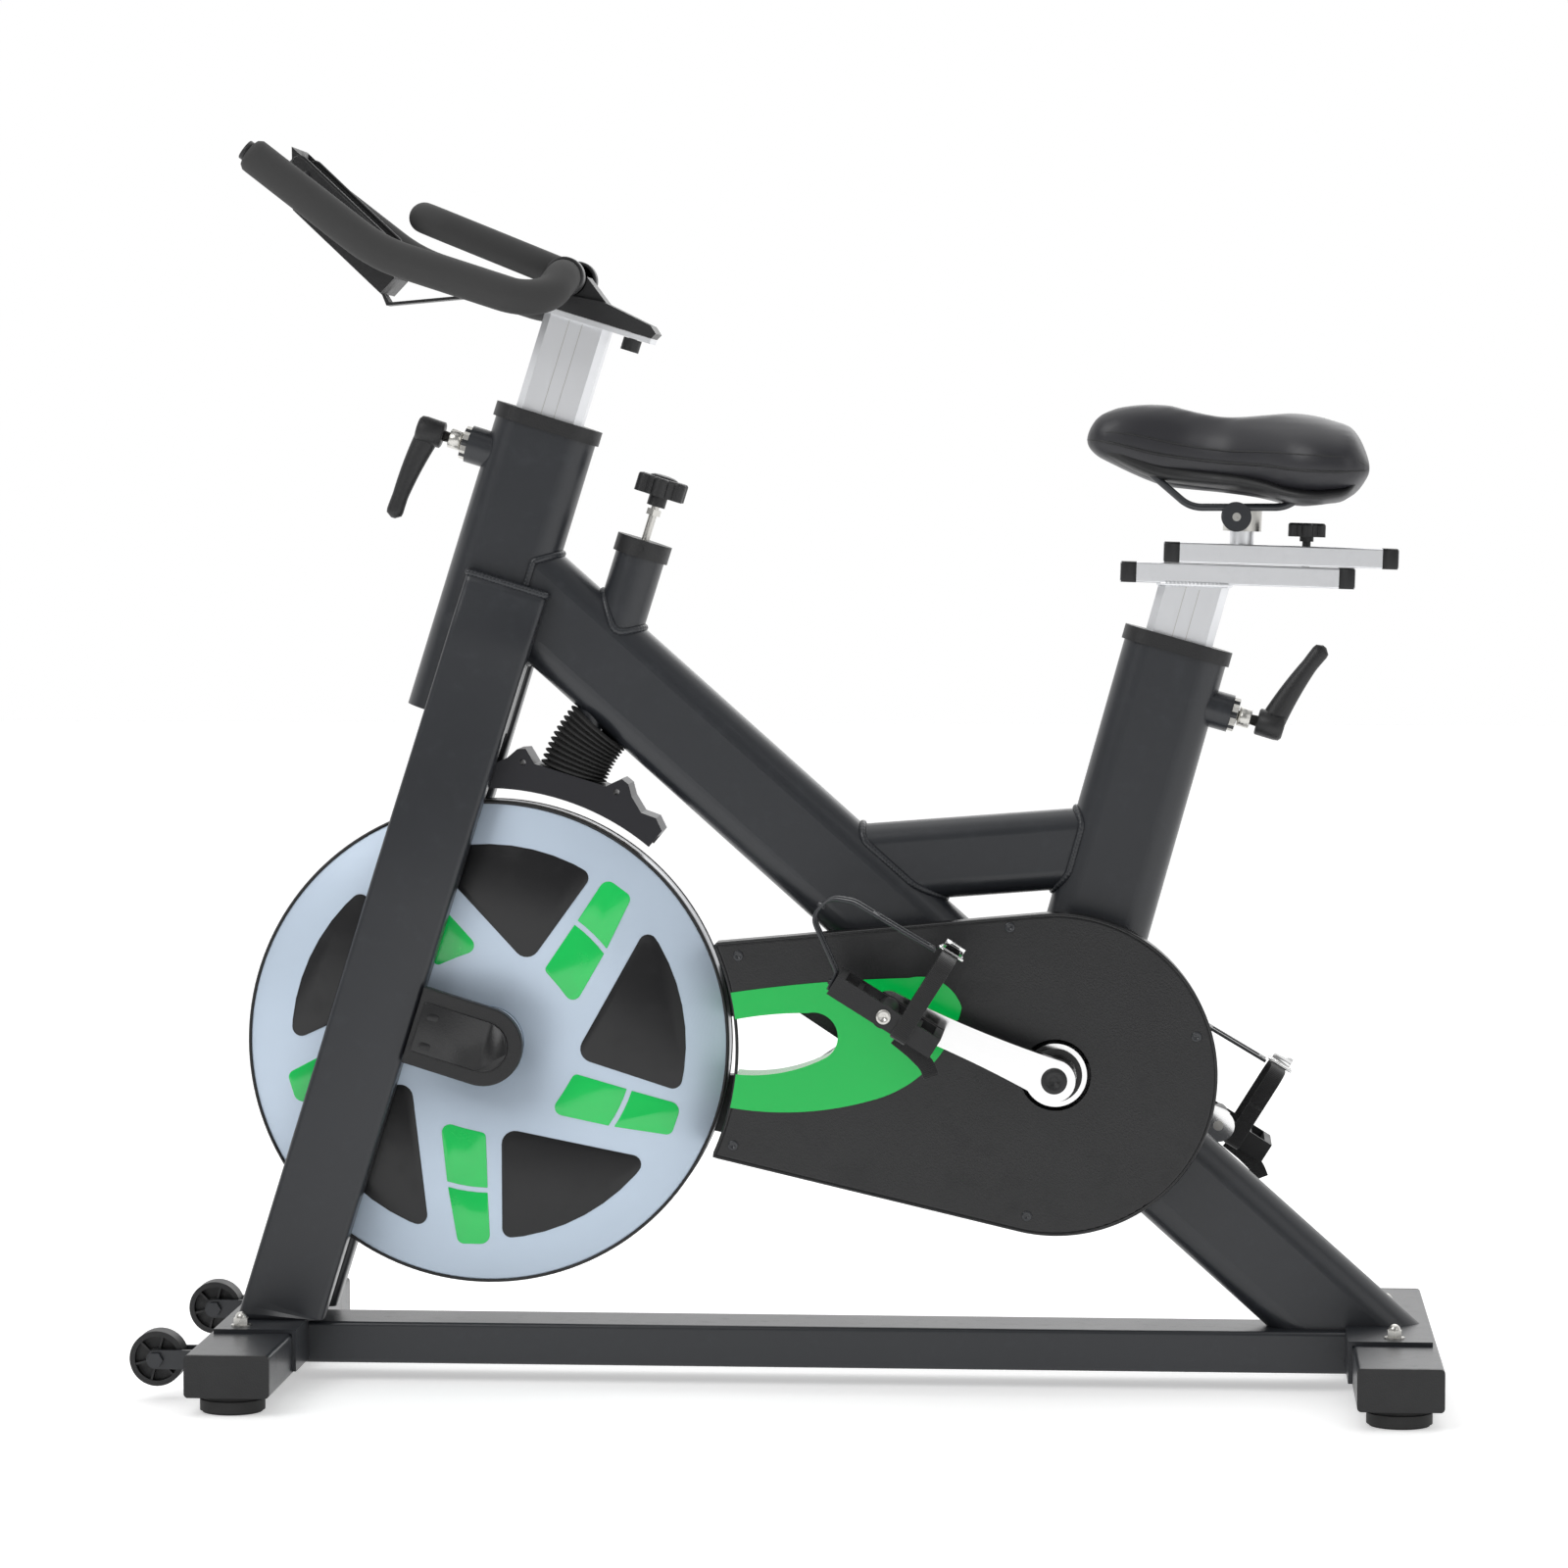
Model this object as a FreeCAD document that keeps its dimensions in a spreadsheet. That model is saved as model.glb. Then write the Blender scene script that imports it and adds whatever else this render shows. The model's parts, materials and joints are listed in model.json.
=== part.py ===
"""Indoor spin bike: every separate piece of the machine, in one frame.

Frame: +X to the rear (saddle end), +Y to the rider's right, +Z up, millimetres.  The origin is on the
floor under the middle of the machine.  The rider's left side (-Y) carries the open side cover, and the
right side (+Y) the chain drive.  Angles in the side view are measured from +X towards +Z.
"""
import FreeCAD
import Part
import Sketcher
import math
import os
import re
from FreeCAD import Placement, Rotation, Vector

doc = FreeCAD.newDocument("spin_bike")
sheet = doc.addObject("Spreadsheet::Sheet", "Sizes")

SIZES = [
    # floor frame
    ("foot_height", 17), ("foot_radius", 30.5), ("foot_spread", 215),
    ("stabiliser_length", 500), ("stabiliser_depth", 80), ("stabiliser_height", 40),
    ("front_stabiliser_x", -508.7), ("rear_stabiliser_x", 574.7),
    ("box_wall", 3), ("box_corner", 4), ("cap_flange", 6), ("cap_plug", 22),
    ("rail_width", 80), ("plate_thickness", 4), ("plate_reach", 118), ("plate_skirt", 36),
    ("acorn_spread", 97), ("bolt_radius", 4),
    # transport wheels
    ("wheel_radius", 26), ("wheel_width", 24), ("wheel_spread", 157), ("wheel_bore", 5),
    ("wheel_forward", 80.1), ("wheel_height", 40.3), ("wheel_arm_thickness", 5),
    # main frame tubes
    ("head_x", -237.3), ("head_z", 914.8), ("head_lean", 17.3), ("head_length", 289.4),
    ("tube_depth", 100), ("tube_width", 50), ("tube_wall", 3),
    ("beam_drop", 140.3), ("beam_setback", 42.7),
    ("crank_climb", 371.7), ("seat_lean", 15.64), ("seat_rise", 414.1),
    ("link_rise", 222.5), ("link_slope", 4.5), ("link_depth", 77), ("link_width", 40),
    ("collar_height", 14), ("collar_lip", 3), ("collar_sleeve", 60),
    # fork
    ("fork_width", 80), ("fork_thickness", 30), ("fork_gap", 58), ("fork_offset", 12),
    ("fork_knee", 380), ("fork_top_drop", 150), ("fork_top_thickness", 19),
    ("dropout_thickness", 8), ("dropout_inner", 48), ("dropout_radius", 32),
    ("axle_cover_radius", 38), ("axle_cover_depth", 12), ("axle_cover_wall", 2.5),
    # flywheel
    ("flywheel_drop", 577.2), ("flywheel_offset", 122.7), ("flywheel_radius", 232),
    ("flywheel_thickness", 42), ("flywheel_web", 10), ("flywheel_rim", 34), ("hub_radius", 34),
    ("axle_radius", 6), ("bearing_radius", 14), ("bearing_width", 9), ("axle_length", 128),
    # chain drive, on the right side
    ("chain_plane", 40), ("chain_width", 7), ("chain_pitch", 12.7), ("chain_half", 4.2),
    ("chainring_teeth", 52), ("sprocket_teeth", 14), ("tooth_thickness", 2.2),
    ("chain_case_inner", 28.3), ("chain_case_depth", 18.5), ("chain_case_wall", 2),
    ("chain_case_radius", 132), ("chain_case_nose", 46),
    # bottom bracket and cranks
    ("shell_radius", 29), ("shell_length", 68), ("spindle_radius", 8.5), ("cup_wall", 4),
    ("crank_length", 170), ("crank_angle", 156.4), ("crank_plane", 115), ("arm_thickness", 14),
    ("arm_eye_radius", 16), ("arm_boss_radius", 20), ("arm_boss_depth", 26),
    # side cover, on the left side
    ("cover_face", 70), ("cover_back", 25.4), ("cover_wall", 2.5), ("cover_radius", 152),
    ("cover_front_gap", 12), ("cover_hole_radius", 34),
    # pedals
    ("pedal_spindle_radius", 5), ("pedal_inner", 126), ("pedal_width", 84), ("pedal_length", 112),
    ("pedal_depth", 20), ("pedal_tilt", 32), ("pedal_barrel_radius", 11), ("pedal_plate", 4),
    ("strap_width", 16), ("strap_thickness", 2.4), ("strap_height", 76),
    ("strap_back", 22),
    # brake
    ("brake_tube_radius", 24), ("brake_tube_bore", 20), ("brake_cap_radius", 27),
    ("brake_cap_height", 17), ("brake_cap_top", 505.6), ("guide_radius", 14), ("rod_radius", 7),
    ("rod_neck_radius", 4), ("knob_centre", 558.4), ("knob_height", 18), ("knob_radius", 26.5),
    ("shoe_inner", 245), ("shoe_platform", 270), ("shoe_half_width", 26.5), ("shoe_cheek", 3),
    ("shoe_angle", 22.2), ("pad_inner", 249), ("pad_depth", 8), ("bellows_radius", 30),
    # handlebar post and slide
    ("post_depth", 65.5), ("post_width", 38), ("post_chamfer", 7), ("post_wall", 3),
    ("fit", 0.25), ("handlebar_post_show", 95), ("post_insert", 180),
    ("deck_knob_back", 54.5), ("top_plate_length", 112), ("top_plate_width", 62), ("top_plate_thickness", 5),
    # clamp levers
    ("boss_radius", 18), ("boss_depth", 17), ("lever_rod_radius", 5), ("head_clamp_drop", 34),
    ("seat_clamp_drop", 42),
    # handlebar
    ("grip_radius", 17), ("grip_spread", 128), ("loop_spread", 40), ("crossbar_x", -212),
    ("crossbar_z", 1060), ("tray_width", 96), ("tray_depth", 43), ("tray_length", 115),
    ("tray_wall", 3), ("tray_slope", 43.5),
    # seat post and saddle slide
    ("seat_post_show", 62), ("slide_bar_height", 19), ("slide_bar_width", 38), ("slide_slope", 1.8),
    ("lower_bar_length", 222), ("upper_bar_length", 222), ("lower_bar_front_x", 314),
    ("upper_bar_front_x", 355), ("slide_gap", 1), ("slide_bar_wall", 2.5), ("bar_cap", 15),
    ("pillar_radius", 11.35), ("pillar_height", 34), ("pillar_x", 428.5),
    ("knob_x", 490), ("saddle_rail_radius", 3.5), ("rail_reach", 33), ("rail_rise", 9),
]
for row, (alias, number) in enumerate(SIZES, start=1):
    sheet.set("A%d" % row, alias)
    sheet.set("B%d" % row, str(number))
    sheet.setAlias("B%d" % row, alias)
doc.recompute()

ALIASES = {alias for alias, number in SIZES}
ROUND = Vector(0, 1, 0)
UP = Vector(0, 0, 1)
pieces = {}


def size(alias):
    """The number that the sheet holds under this alias."""
    return float(sheet.get(alias))


def bind(item, field, text):
    """Tie one property to the sheet; text is a formula written with the sheet's aliases."""
    formula = re.sub(r"[a-z]\w*", lambda word: "Sizes." + word.group() if word.group() in ALIASES
                     else word.group(), text)
    item.setExpression(field, formula)


def amount(text):
    """Number that a short formula of sums gives, such as "tube_wall + 0.2"."""
    total = 0.0
    sign = 1
    for word in text.split():
        if word in "+-":
            sign = 1 if word == "+" else -1
        else:
            total += sign * (size(word) if word in ALIASES else float(word))
    return total


def direction(degrees):
    """Unit vector in the side view, at an angle from +X towards +Z."""
    angle = math.radians(degrees)
    return Vector(math.cos(angle), 0, math.sin(angle))


def along(start, axis, side=ROUND):
    """Placement whose local Z runs along axis and whose local X runs along side."""
    axis = Vector(axis).normalize()
    return Placement(start, Rotation(side, axis.cross(side), axis, "ZXY"))


def meet(point, axis, other_point, other_axis):
    """Where two lines of the side view cross."""
    gap = other_point - point
    turn = axis.x * other_axis.z - axis.z * other_axis.x
    return point + axis * ((gap.x * other_axis.z - gap.z * other_axis.x) / turn)


def at_side(point, y):
    """The same point of the side view, moved to a distance from the mid-plane."""
    return Vector(point.x, y, point.z)


def cylinder(radius, height, start, axis=ROUND):
    """Round bar from start along axis; radius and height are formulas."""
    item = doc.addObject("Part::Cylinder", "Cylinder")
    bind(item, "Radius", radius)
    bind(item, "Height", height)
    side = ROUND if abs(Vector(axis).normalize().y) < 0.5 else Vector(1, 0, 0)
    item.Placement = along(start, axis, side)
    return item


def block(length, width, height, corner, turn=Rotation()):
    """Box from its corner, its three sides given as formulas."""
    item = doc.addObject("Part::Box", "Box")
    bind(item, "Length", length)
    bind(item, "Width", width)
    bind(item, "Height", height)
    item.Placement = Placement(corner, turn)
    return item


def cut(base, *tools):
    """Take the tools away from the base, one after another."""
    for tool in tools:
        item = doc.addObject("Part::Cut", "Cut")
        item.Base = base
        item.Tool = tool
        base = item
    return base


def fuse(*parts):
    """Weld the parts into one solid."""
    item = doc.addObject("Part::MultiFuse", "Fuse")
    item.Shapes = list(parts)
    item.Refine = True
    return item


def group(*parts):
    """Keep the parts as separate solids in one node."""
    item = doc.addObject("Part::Compound", "Group")
    item.Links = list(parts)
    return item


def mirrored(source):
    """The same piece on the other side of the mid-plane."""
    item = doc.addObject("Part::Mirroring", "Mirror")
    item.Source = source
    item.Normal = ROUND
    return item


def node(label, item):
    """Name a finished sub-part; its label is its file's name."""
    item.Label = label
    pieces[label] = item
    return item


def pair(label, maker):
    """One node with the left and the right copy of a piece, made by maker(side)."""
    return node(label, group(*[maker(side) for side in (-1, 1)]))


def plain(shape):
    """A shape worked out below from the sheet's numbers, where no primitive or feature fits."""
    item = doc.addObject("Part::Feature", "Shape")
    item.Shape = shape
    return item


def new_body(name, place):
    """Empty Body with its placement, and a sketch on its own XY plane."""
    body = doc.addObject("PartDesign::Body", name)
    body.Placement = place
    sketch = body.newObject("Sketcher::SketchObject", name + "_sketch")
    plane = [item for item in body.Origin.OriginFeatures if item.Role == "XY_Plane"][0]
    sketch.AttachmentSupport = [(plane, "")]
    sketch.MapMode = "FlatFace"
    return body, sketch


def dimension(sketch, constraint, text):
    """Add a sketch dimension and tie it to the sheet."""
    number = sketch.addConstraint(constraint)
    bind(sketch, "Constraints[%d]" % number, text)


def draw_oval(sketch, depth, width, inset):
    """Flat-oval outline about the sketch's origin, its long way along the sketch's Y."""
    half = (size(depth) - size(width)) / 2
    radius = size(width) / 2 - amount(inset)
    first = sketch.GeometryCount
    top = Part.Circle(Vector(0, half, 0), UP, radius)
    bottom = Part.Circle(Vector(0, -half, 0), UP, radius)
    sketch.addGeometry(Part.ArcOfCircle(top, 0, math.pi))
    sketch.addGeometry(Part.LineSegment(Vector(-radius, half, 0), Vector(-radius, -half, 0)))
    sketch.addGeometry(Part.ArcOfCircle(bottom, math.pi, 2 * math.pi))
    sketch.addGeometry(Part.LineSegment(Vector(radius, -half, 0), Vector(radius, half, 0)))
    for step in range(4):
        follower = first + (step + 1) % 4
        sketch.addConstraint(Sketcher.Constraint("Tangent", first + step, 2, follower, 1))
    sketch.addConstraint(Sketcher.Constraint("Equal", first, first + 2))
    sketch.addConstraint(Sketcher.Constraint("PointOnObject", first, 3, -2))
    sketch.addConstraint(Sketcher.Constraint("Symmetric", first, 3, first + 2, 3, -1, 1))
    text = "%s / 2 - (%s)" % (width, inset)
    dimension(sketch, Sketcher.Constraint("Radius", first, radius), text)
    spread = Sketcher.Constraint("DistanceY", first + 2, 3, first, 3, 2 * half)
    dimension(sketch, spread, "%s - %s" % (depth, width))


def draw_box(sketch, width, height, corner, inset):
    """Rounded rectangle about the sketch's origin; width runs along X, height along Y."""
    shrink = amount(inset)
    radius = max(amount(corner) - shrink, 0.8)
    half = (size(width) / 2 - shrink - radius, size(height) / 2 - shrink - radius)
    first = sketch.GeometryCount
    signs = [(1, 1), (-1, 1), (-1, -1), (1, -1)]
    for quarter, (right, top) in enumerate(signs):
        circle = Part.Circle(Vector(right * half[0], top * half[1], 0), UP, radius)
        begin = quarter * math.pi / 2
        sketch.addGeometry(Part.ArcOfCircle(circle, begin, begin + math.pi / 2))
    for quarter in range(4):
        end = sketch.getPoint(first + quarter, 2)
        start = sketch.getPoint(first + (quarter + 1) % 4, 1)
        sketch.addGeometry(Part.LineSegment(end, start))
        line = first + 4 + quarter
        sketch.addConstraint(Sketcher.Constraint("Tangent", first + quarter, 2, line, 1))
        sketch.addConstraint(Sketcher.Constraint("Tangent", line, 2, first + (quarter + 1) % 4, 1))
        level = "Horizontal" if quarter % 2 == 0 else "Vertical"
        sketch.addConstraint(Sketcher.Constraint(level, line))
    for quarter in range(1, 4):
        sketch.addConstraint(Sketcher.Constraint("Equal", first, first + quarter))
    sketch.addConstraint(Sketcher.Constraint("Symmetric", first, 3, first + 2, 3, -1, 1))
    text = "max(%s - (%s); 0.8)" % (corner, inset)
    dimension(sketch, Sketcher.Constraint("Radius", first, radius), text)
    reach = "- 2 * (%s) - 2 * %s" % (inset, text)
    across = Sketcher.Constraint("DistanceX", first + 1, 3, first, 3, 2 * half[0])
    dimension(sketch, across, "%s %s" % (width, reach))
    tall = Sketcher.Constraint("DistanceY", first + 3, 3, first, 3, 2 * half[1])
    dimension(sketch, tall, "%s %s" % (height, reach))


def pad(body, sketch, length):
    """Pad a finished sketch along the body's local Z by a formula's length."""
    feature = body.newObject("PartDesign::Pad", sketch.Name + "_pad")
    feature.Profile = sketch
    bind(feature, "Length", length)
    sketch.Visibility = False
    return body


def oval_bar(name, depth, width, length, place, wall=None, inset="0"):
    """Flat-oval bar, or a tube of this wall, along the placement's local Z."""
    body, sketch = new_body(name, place)
    draw_oval(sketch, depth, width, inset)
    if wall:
        draw_oval(sketch, depth, width, wall)
    return pad(body, sketch, length)


def box_bar(name, width, height, length, place, corner="box_corner", wall=None, inset="0"):
    """Rounded rectangular bar, or a tube of this wall, along the placement's local Z."""
    body, sketch = new_body(name, place)
    draw_box(sketch, width, height, corner, inset)
    if wall:
        draw_box(sketch, width, height, corner, wall)
    return pad(body, sketch, length)


def hexagon(across, height, start, axis, side=ROUND):
    """Hexagonal nut blank; across is the size over its flats."""
    item = doc.addObject("Part::Prism", "Hexagon")
    item.Polygon = 6
    bind(item, "Circumradius", "(%s) / sqrt(3)" % across)
    bind(item, "Height", height)
    item.Placement = along(start, axis, side)
    return item


def rounded_path(points, radii):
    """Straight runs joined by tangent arcs, one radius for each inner point."""
    edges = []
    here = points[0]
    for before, corner, after, radius in zip(points, points[1:], points[2:], radii):
        back = (before - corner).normalize()
        ahead = (after - corner).normalize()
        half = back.getAngle(ahead) / 2
        trim = radius / math.tan(half)
        first = corner + back * trim
        last = corner + ahead * trim
        middle = corner + (back + ahead).normalize() * (radius / math.sin(half) - radius)
        edges.append(Part.LineSegment(here, first).toShape())
        edges.append(Part.Arc(first, middle, last).toShape())
        here = last
    edges.append(Part.LineSegment(here, points[-1]).toShape())
    return Part.Wire(edges)


def pipe(path, radius):
    """Round bar along a path."""
    start = path.Edges[0].valueAt(path.Edges[0].FirstParameter)
    tangent = path.Edges[0].tangentAt(path.Edges[0].FirstParameter)
    ring = Part.Wire([Part.Circle(start, tangent, radius).toShape()])
    return path.makePipeShell([ring], True, False)


def outline(steps):
    """Closed wire in the side view; a step is a point, or a pair (middle, end) for an arc."""
    edges = []
    here = steps[0]
    for step in list(steps[1:]) + [steps[0]]:
        if isinstance(step, tuple):
            edges.append(Part.Arc(here, step[0], step[1]).toShape())
            here = step[1]
        elif (step - here).Length > 0.01:
            edges.append(Part.LineSegment(here, step).toShape())
            here = step
    return Part.Wire(edges)


def slab(wire, y_from, y_to):
    """Solid of a side-view outline between two distances from the mid-plane."""
    face = Part.Face(wire)
    face.translate(Vector(0, y_from - wire.BoundBox.YMin, 0))
    return face.extrude(Vector(0, y_to - y_from, 0))


def tangent_point(point, centre, radius, side):
    """Where a line from point touches a circle of the side view; side picks one of the two."""
    gap = point - centre
    lean = math.acos(radius / gap.Length)
    base = math.atan2(gap.z, gap.x)
    return centre + direction(math.degrees(base + side * lean)) * radius


# ---------------------------------------------------------------------------------------------------
# Lines and points that the pieces share, all worked out from the sheet.
# ---------------------------------------------------------------------------------------------------
floor_top = size("foot_height")
rail_top = floor_top + size("stabiliser_height")
rail_mid = floor_top + size("stabiliser_height") / 2
plate_top = rail_top + size("plate_thickness")
front_x = size("front_stabiliser_x")
rear_x = size("rear_stabiliser_x")
half_depth = size("stabiliser_depth") / 2

head_up = direction(90 - size("head_lean"))
head_back = direction(-size("head_lean"))
head_top = Vector(size("head_x"), 0, size("head_z"))
head_foot = head_top - head_up * size("head_length")
beam_start = head_top - head_up * size("beam_drop")
beam_foot = Vector(rear_x - size("beam_setback"), 0, rail_top)
beam_run = (beam_foot - beam_start).normalize()
beam_up = Vector(-beam_run.z, 0, beam_run.x)
crank_centre = beam_foot - beam_run * size("crank_climb")
seat_up = direction(90 - size("seat_lean"))
seat_back = direction(-size("seat_lean"))
seat_top = crank_centre + seat_up * size("seat_rise")
link_start = crank_centre + seat_up * size("link_rise")
link_run = direction(180 + size("link_slope"))
link_end = meet(link_start, link_run, beam_start, beam_run)
wheel_centre = head_top - head_up * size("flywheel_drop") + head_back * size("flywheel_offset")
fork_foot = meet(head_top + head_back * size("fork_offset"), head_up,
                 Vector(0, 0, plate_top), Vector(1, 0, 0))


def head_point(drop, back=0):
    """Point of the side view below the top of the head tube, measured along and behind its axis."""
    return head_top - head_up * drop + head_back * back


def brake_point(rise, back=0):
    """Point above the flywheel's centre along the brake axis."""
    return wheel_centre + head_up * rise + head_back * back


# ---------------------------------------------------------------------------------------------------
# Floor frame
# ---------------------------------------------------------------------------------------------------
def make_stabilisers():
    """Two box tubes across the machine, with room at both ends for their caps."""
    tubes = []
    for x in (front_x, rear_x):
        start = Vector(x, -size("stabiliser_length") / 2 + size("cap_flange"), rail_mid)
        tubes.append(box_bar("stabiliser", "stabiliser_depth", "stabiliser_height",
                             "stabiliser_length - 2 * cap_flange",
                             along(start, ROUND, Vector(1, 0, 0)), wall="box_wall"))
    return node("stabilisers", group(*tubes))


def make_end_caps():
    """Plastic caps that plug the four ends of the stabilisers."""
    caps = []
    for x in (front_x, rear_x):
        for side in (-1, 1):
            outer = Vector(x, side * size("stabiliser_length") / 2, rail_mid)
            inward = Vector(0, -side, 0)
            turn = along(outer, inward, Vector(1, 0, 0))
            flange = box_bar("cap_flange", "stabiliser_depth", "stabiliser_height", "cap_flange", turn)
            turn = along(outer + inward * size("cap_flange"), inward, Vector(1, 0, 0))
            plug = box_bar("cap_plug", "stabiliser_depth", "stabiliser_height", "cap_plug", turn,
                           inset="box_wall")
            caps.append(fuse(flange, plug))
    return node("stabiliser_end_caps", group(*caps))


def make_feet():
    """Rubber feet under the ends of both stabilisers, each with its chamfered rim."""
    feet = []
    for x in (front_x, rear_x):
        for side in (-1, 1):
            centre = Vector(x, side * size("foot_spread"), 0)
            sole = cylinder("foot_radius - 2.5", "foot_height", centre, UP)
            tread = cylinder("foot_radius", "foot_height * 0.6", centre + UP * 2, UP)
            feet.append(fuse(sole, tread))
    return node("rubber_feet", group(*feet))


def make_base_rail():
    """Box tube between the two stabilisers, along the floor."""
    start = Vector(front_x + half_depth, 0, rail_mid)
    length = "rear_stabiliser_x - front_stabiliser_x - stabiliser_depth"
    rail = box_bar("base_rail", "rail_width", "stabiliser_height", length,
                   along(start, Vector(1, 0, 0)), wall="box_wall")
    return node("base_rail", rail)


def saddle_plate(x, skirt_side):
    """Steel plate over a stabiliser, with skirts down the side that faces the base rail."""
    rail_face = x + skirt_side * half_depth
    low = min(x - skirt_side * (half_depth - 5), rail_face + skirt_side * size("plate_thickness"))
    top = block("stabiliser_depth - 5 + plate_thickness", "2 * plate_reach", "plate_thickness",
                Vector(low, -size("plate_reach"), rail_top))
    skirts = []
    for side in (-1, 1):
        inner = size("rail_width") / 2 + 0.4
        y = inner if side > 0 else -size("plate_reach")
        x_low = min(rail_face, rail_face + skirt_side * size("plate_thickness"))
        skirts.append(block("plate_thickness", "plate_reach - rail_width / 2 - 0.4", "plate_skirt",
                            Vector(x_low, y, rail_top - size("plate_skirt"))))
    return fuse(top, *skirts)


def make_acorn_nuts():
    """Domed nuts on washers that hold the saddle plates down on the stabilisers."""
    nuts = []
    for x in (front_x - 12, rear_x):
        for side in (-1, 1):
            start = Vector(x, side * size("acorn_spread"), plate_top)
            washer = cylinder("bolt_radius * 2.4", "1.6", start, UP)
            nut = hexagon("bolt_radius * 3.25", "bolt_radius * 1.6", start + UP * 1.6, UP)
            dome = doc.addObject("Part::Sphere", "Dome")
            bind(dome, "Radius", "bolt_radius * 1.45")
            dome.Placement.Base = start + UP * (1.6 + size("bolt_radius") * 1.6)
            nuts.append(fuse(washer, nut, dome))
    return node("acorn_nuts", group(*nuts))


# ---------------------------------------------------------------------------------------------------
# Transport wheels
# ---------------------------------------------------------------------------------------------------
transport_x = front_x - size("wheel_forward")
transport_z = size("wheel_height")


def make_wheel_brackets():
    """Two forks welded to the front stabiliser, with the pin that each wheel turns on."""
    brackets = []
    for side in (-1, 1):
        middle = side * size("wheel_spread")
        parts = []
        for cheek in (-1, 1):
            offset = size("wheel_width") / 2 + 1
            y = middle + cheek * offset - (size("wheel_arm_thickness") if cheek < 0 else 0)
            length = "wheel_forward - stabiliser_depth / 2"
            parts.append(block(length, "wheel_arm_thickness", "18",
                               Vector(transport_x, y, transport_z - 9)))
            parts.append(cylinder("9", "wheel_arm_thickness", Vector(transport_x, y, transport_z)))
        reach = size("wheel_width") / 2 + 1 + size("wheel_arm_thickness")
        parts.append(cylinder("wheel_bore - 0.06", "wheel_width + 2 + 2 * wheel_arm_thickness",
                              Vector(transport_x, middle - reach, transport_z)))
        for cheek in (-1, 1):
            end = Vector(transport_x, middle + cheek * reach, transport_z)
            parts.append(hexagon("13", "5", end, Vector(0, cheek, 0), Vector(1, 0, 0)))
        brackets.append(fuse(*parts))
    return node("wheel_brackets", group(*brackets))


def make_transport_wheel(label, side):
    """Moulded wheel with a recessed web on each side and a plain bore."""
    start = Vector(transport_x, side * size("wheel_spread") - size("wheel_width") / 2, transport_z)
    tyre = cylinder("wheel_radius", "wheel_width", start)
    bore = cylinder("wheel_bore", "wheel_width + 2", start - ROUND)
    recesses = []
    for shift in (-1, size("wheel_width") - 7):
        ring = cut(cylinder("wheel_radius - 5", "8", start + ROUND * shift),
                   cylinder("wheel_bore + 5", "8", start + ROUND * shift))
        recesses.append(ring)
    return node(label, cut(tyre, bore, *recesses))


# ---------------------------------------------------------------------------------------------------
# Main frame
# ---------------------------------------------------------------------------------------------------
def head_core():
    """Solid copy of the head tube's outside, for coping what meets it."""
    return oval_bar("head_core", "tube_depth", "tube_width", "head_length", along(head_foot, head_up))


def beam_core():
    """Solid copy of the main beam's outside, for coping what meets it."""
    return oval_bar("beam_core", "tube_depth", "tube_width", "%f" % ((beam_foot - beam_start).Length + 90),
                    along(beam_start, beam_run))


def make_head_tube():
    """Leaning flat-oval tube that holds the handlebar post."""
    tube = oval_bar("head_tube", "tube_depth", "tube_width", "head_length",
                    along(head_foot, head_up), wall="tube_wall")
    return node("head_tube", cut(tube, clamp_hole("head")))


def make_main_beam():
    """Long sloping tube from the head tube to the rear stabiliser, cut flat at its foot."""
    length = "%f" % ((beam_foot - beam_start).Length + 90)
    tube = oval_bar("main_beam", "tube_depth", "tube_width", length, along(beam_start, beam_run),
                    wall="tube_wall")
    shell = cylinder("shell_radius", "shell_length", at_side(crank_centre, -size("shell_length") / 2))
    guide = cylinder("guide_radius", "200", brake_point(size("brake_cap_top") - 250), head_up)
    ground = block("600", "200", "200", Vector(beam_foot.x - 300, -100, rail_top - 200))
    over_plate = block("400", "200", "plate_thickness + 1",
                       Vector(rear_x - half_depth - size("plate_thickness"), -100, rail_top - 1))
    return node("main_beam", cut(tube, head_core(), shell, guide, ground, over_plate))


def make_seat_tube():
    """Leaning flat-oval tube from the beam to the seat collar."""
    tube = oval_bar("seat_tube", "tube_depth", "tube_width", "seat_rise", along(crank_centre, seat_up),
                    wall="tube_wall")
    shell = cylinder("shell_radius", "shell_length", at_side(crank_centre, -size("shell_length") / 2))
    return node("seat_tube", cut(tube, beam_core(), shell, clamp_hole("seat")))


def make_link_tube():
    """Short tube that ties the seat tube to the main beam."""
    length = "%f" % (link_end - link_start).Length
    tube = oval_bar("link_tube", "link_depth", "link_width", length, along(link_start, link_run),
                    wall="tube_wall")
    seat_core = oval_bar("seat_core", "tube_depth", "tube_width", "seat_rise",
                         along(crank_centre, seat_up))
    return node("link_tube", cut(tube, beam_core(), seat_core))


def make_bracket_shell():
    """Bottom-bracket shell through the beam."""
    start = at_side(crank_centre, -size("shell_length") / 2)
    tube = cylinder("shell_radius", "shell_length", start)
    bore = cylinder("shell_radius - cup_wall", "shell_length + 2", start - ROUND)
    return node("bracket_shell", cut(tube, bore))


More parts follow.
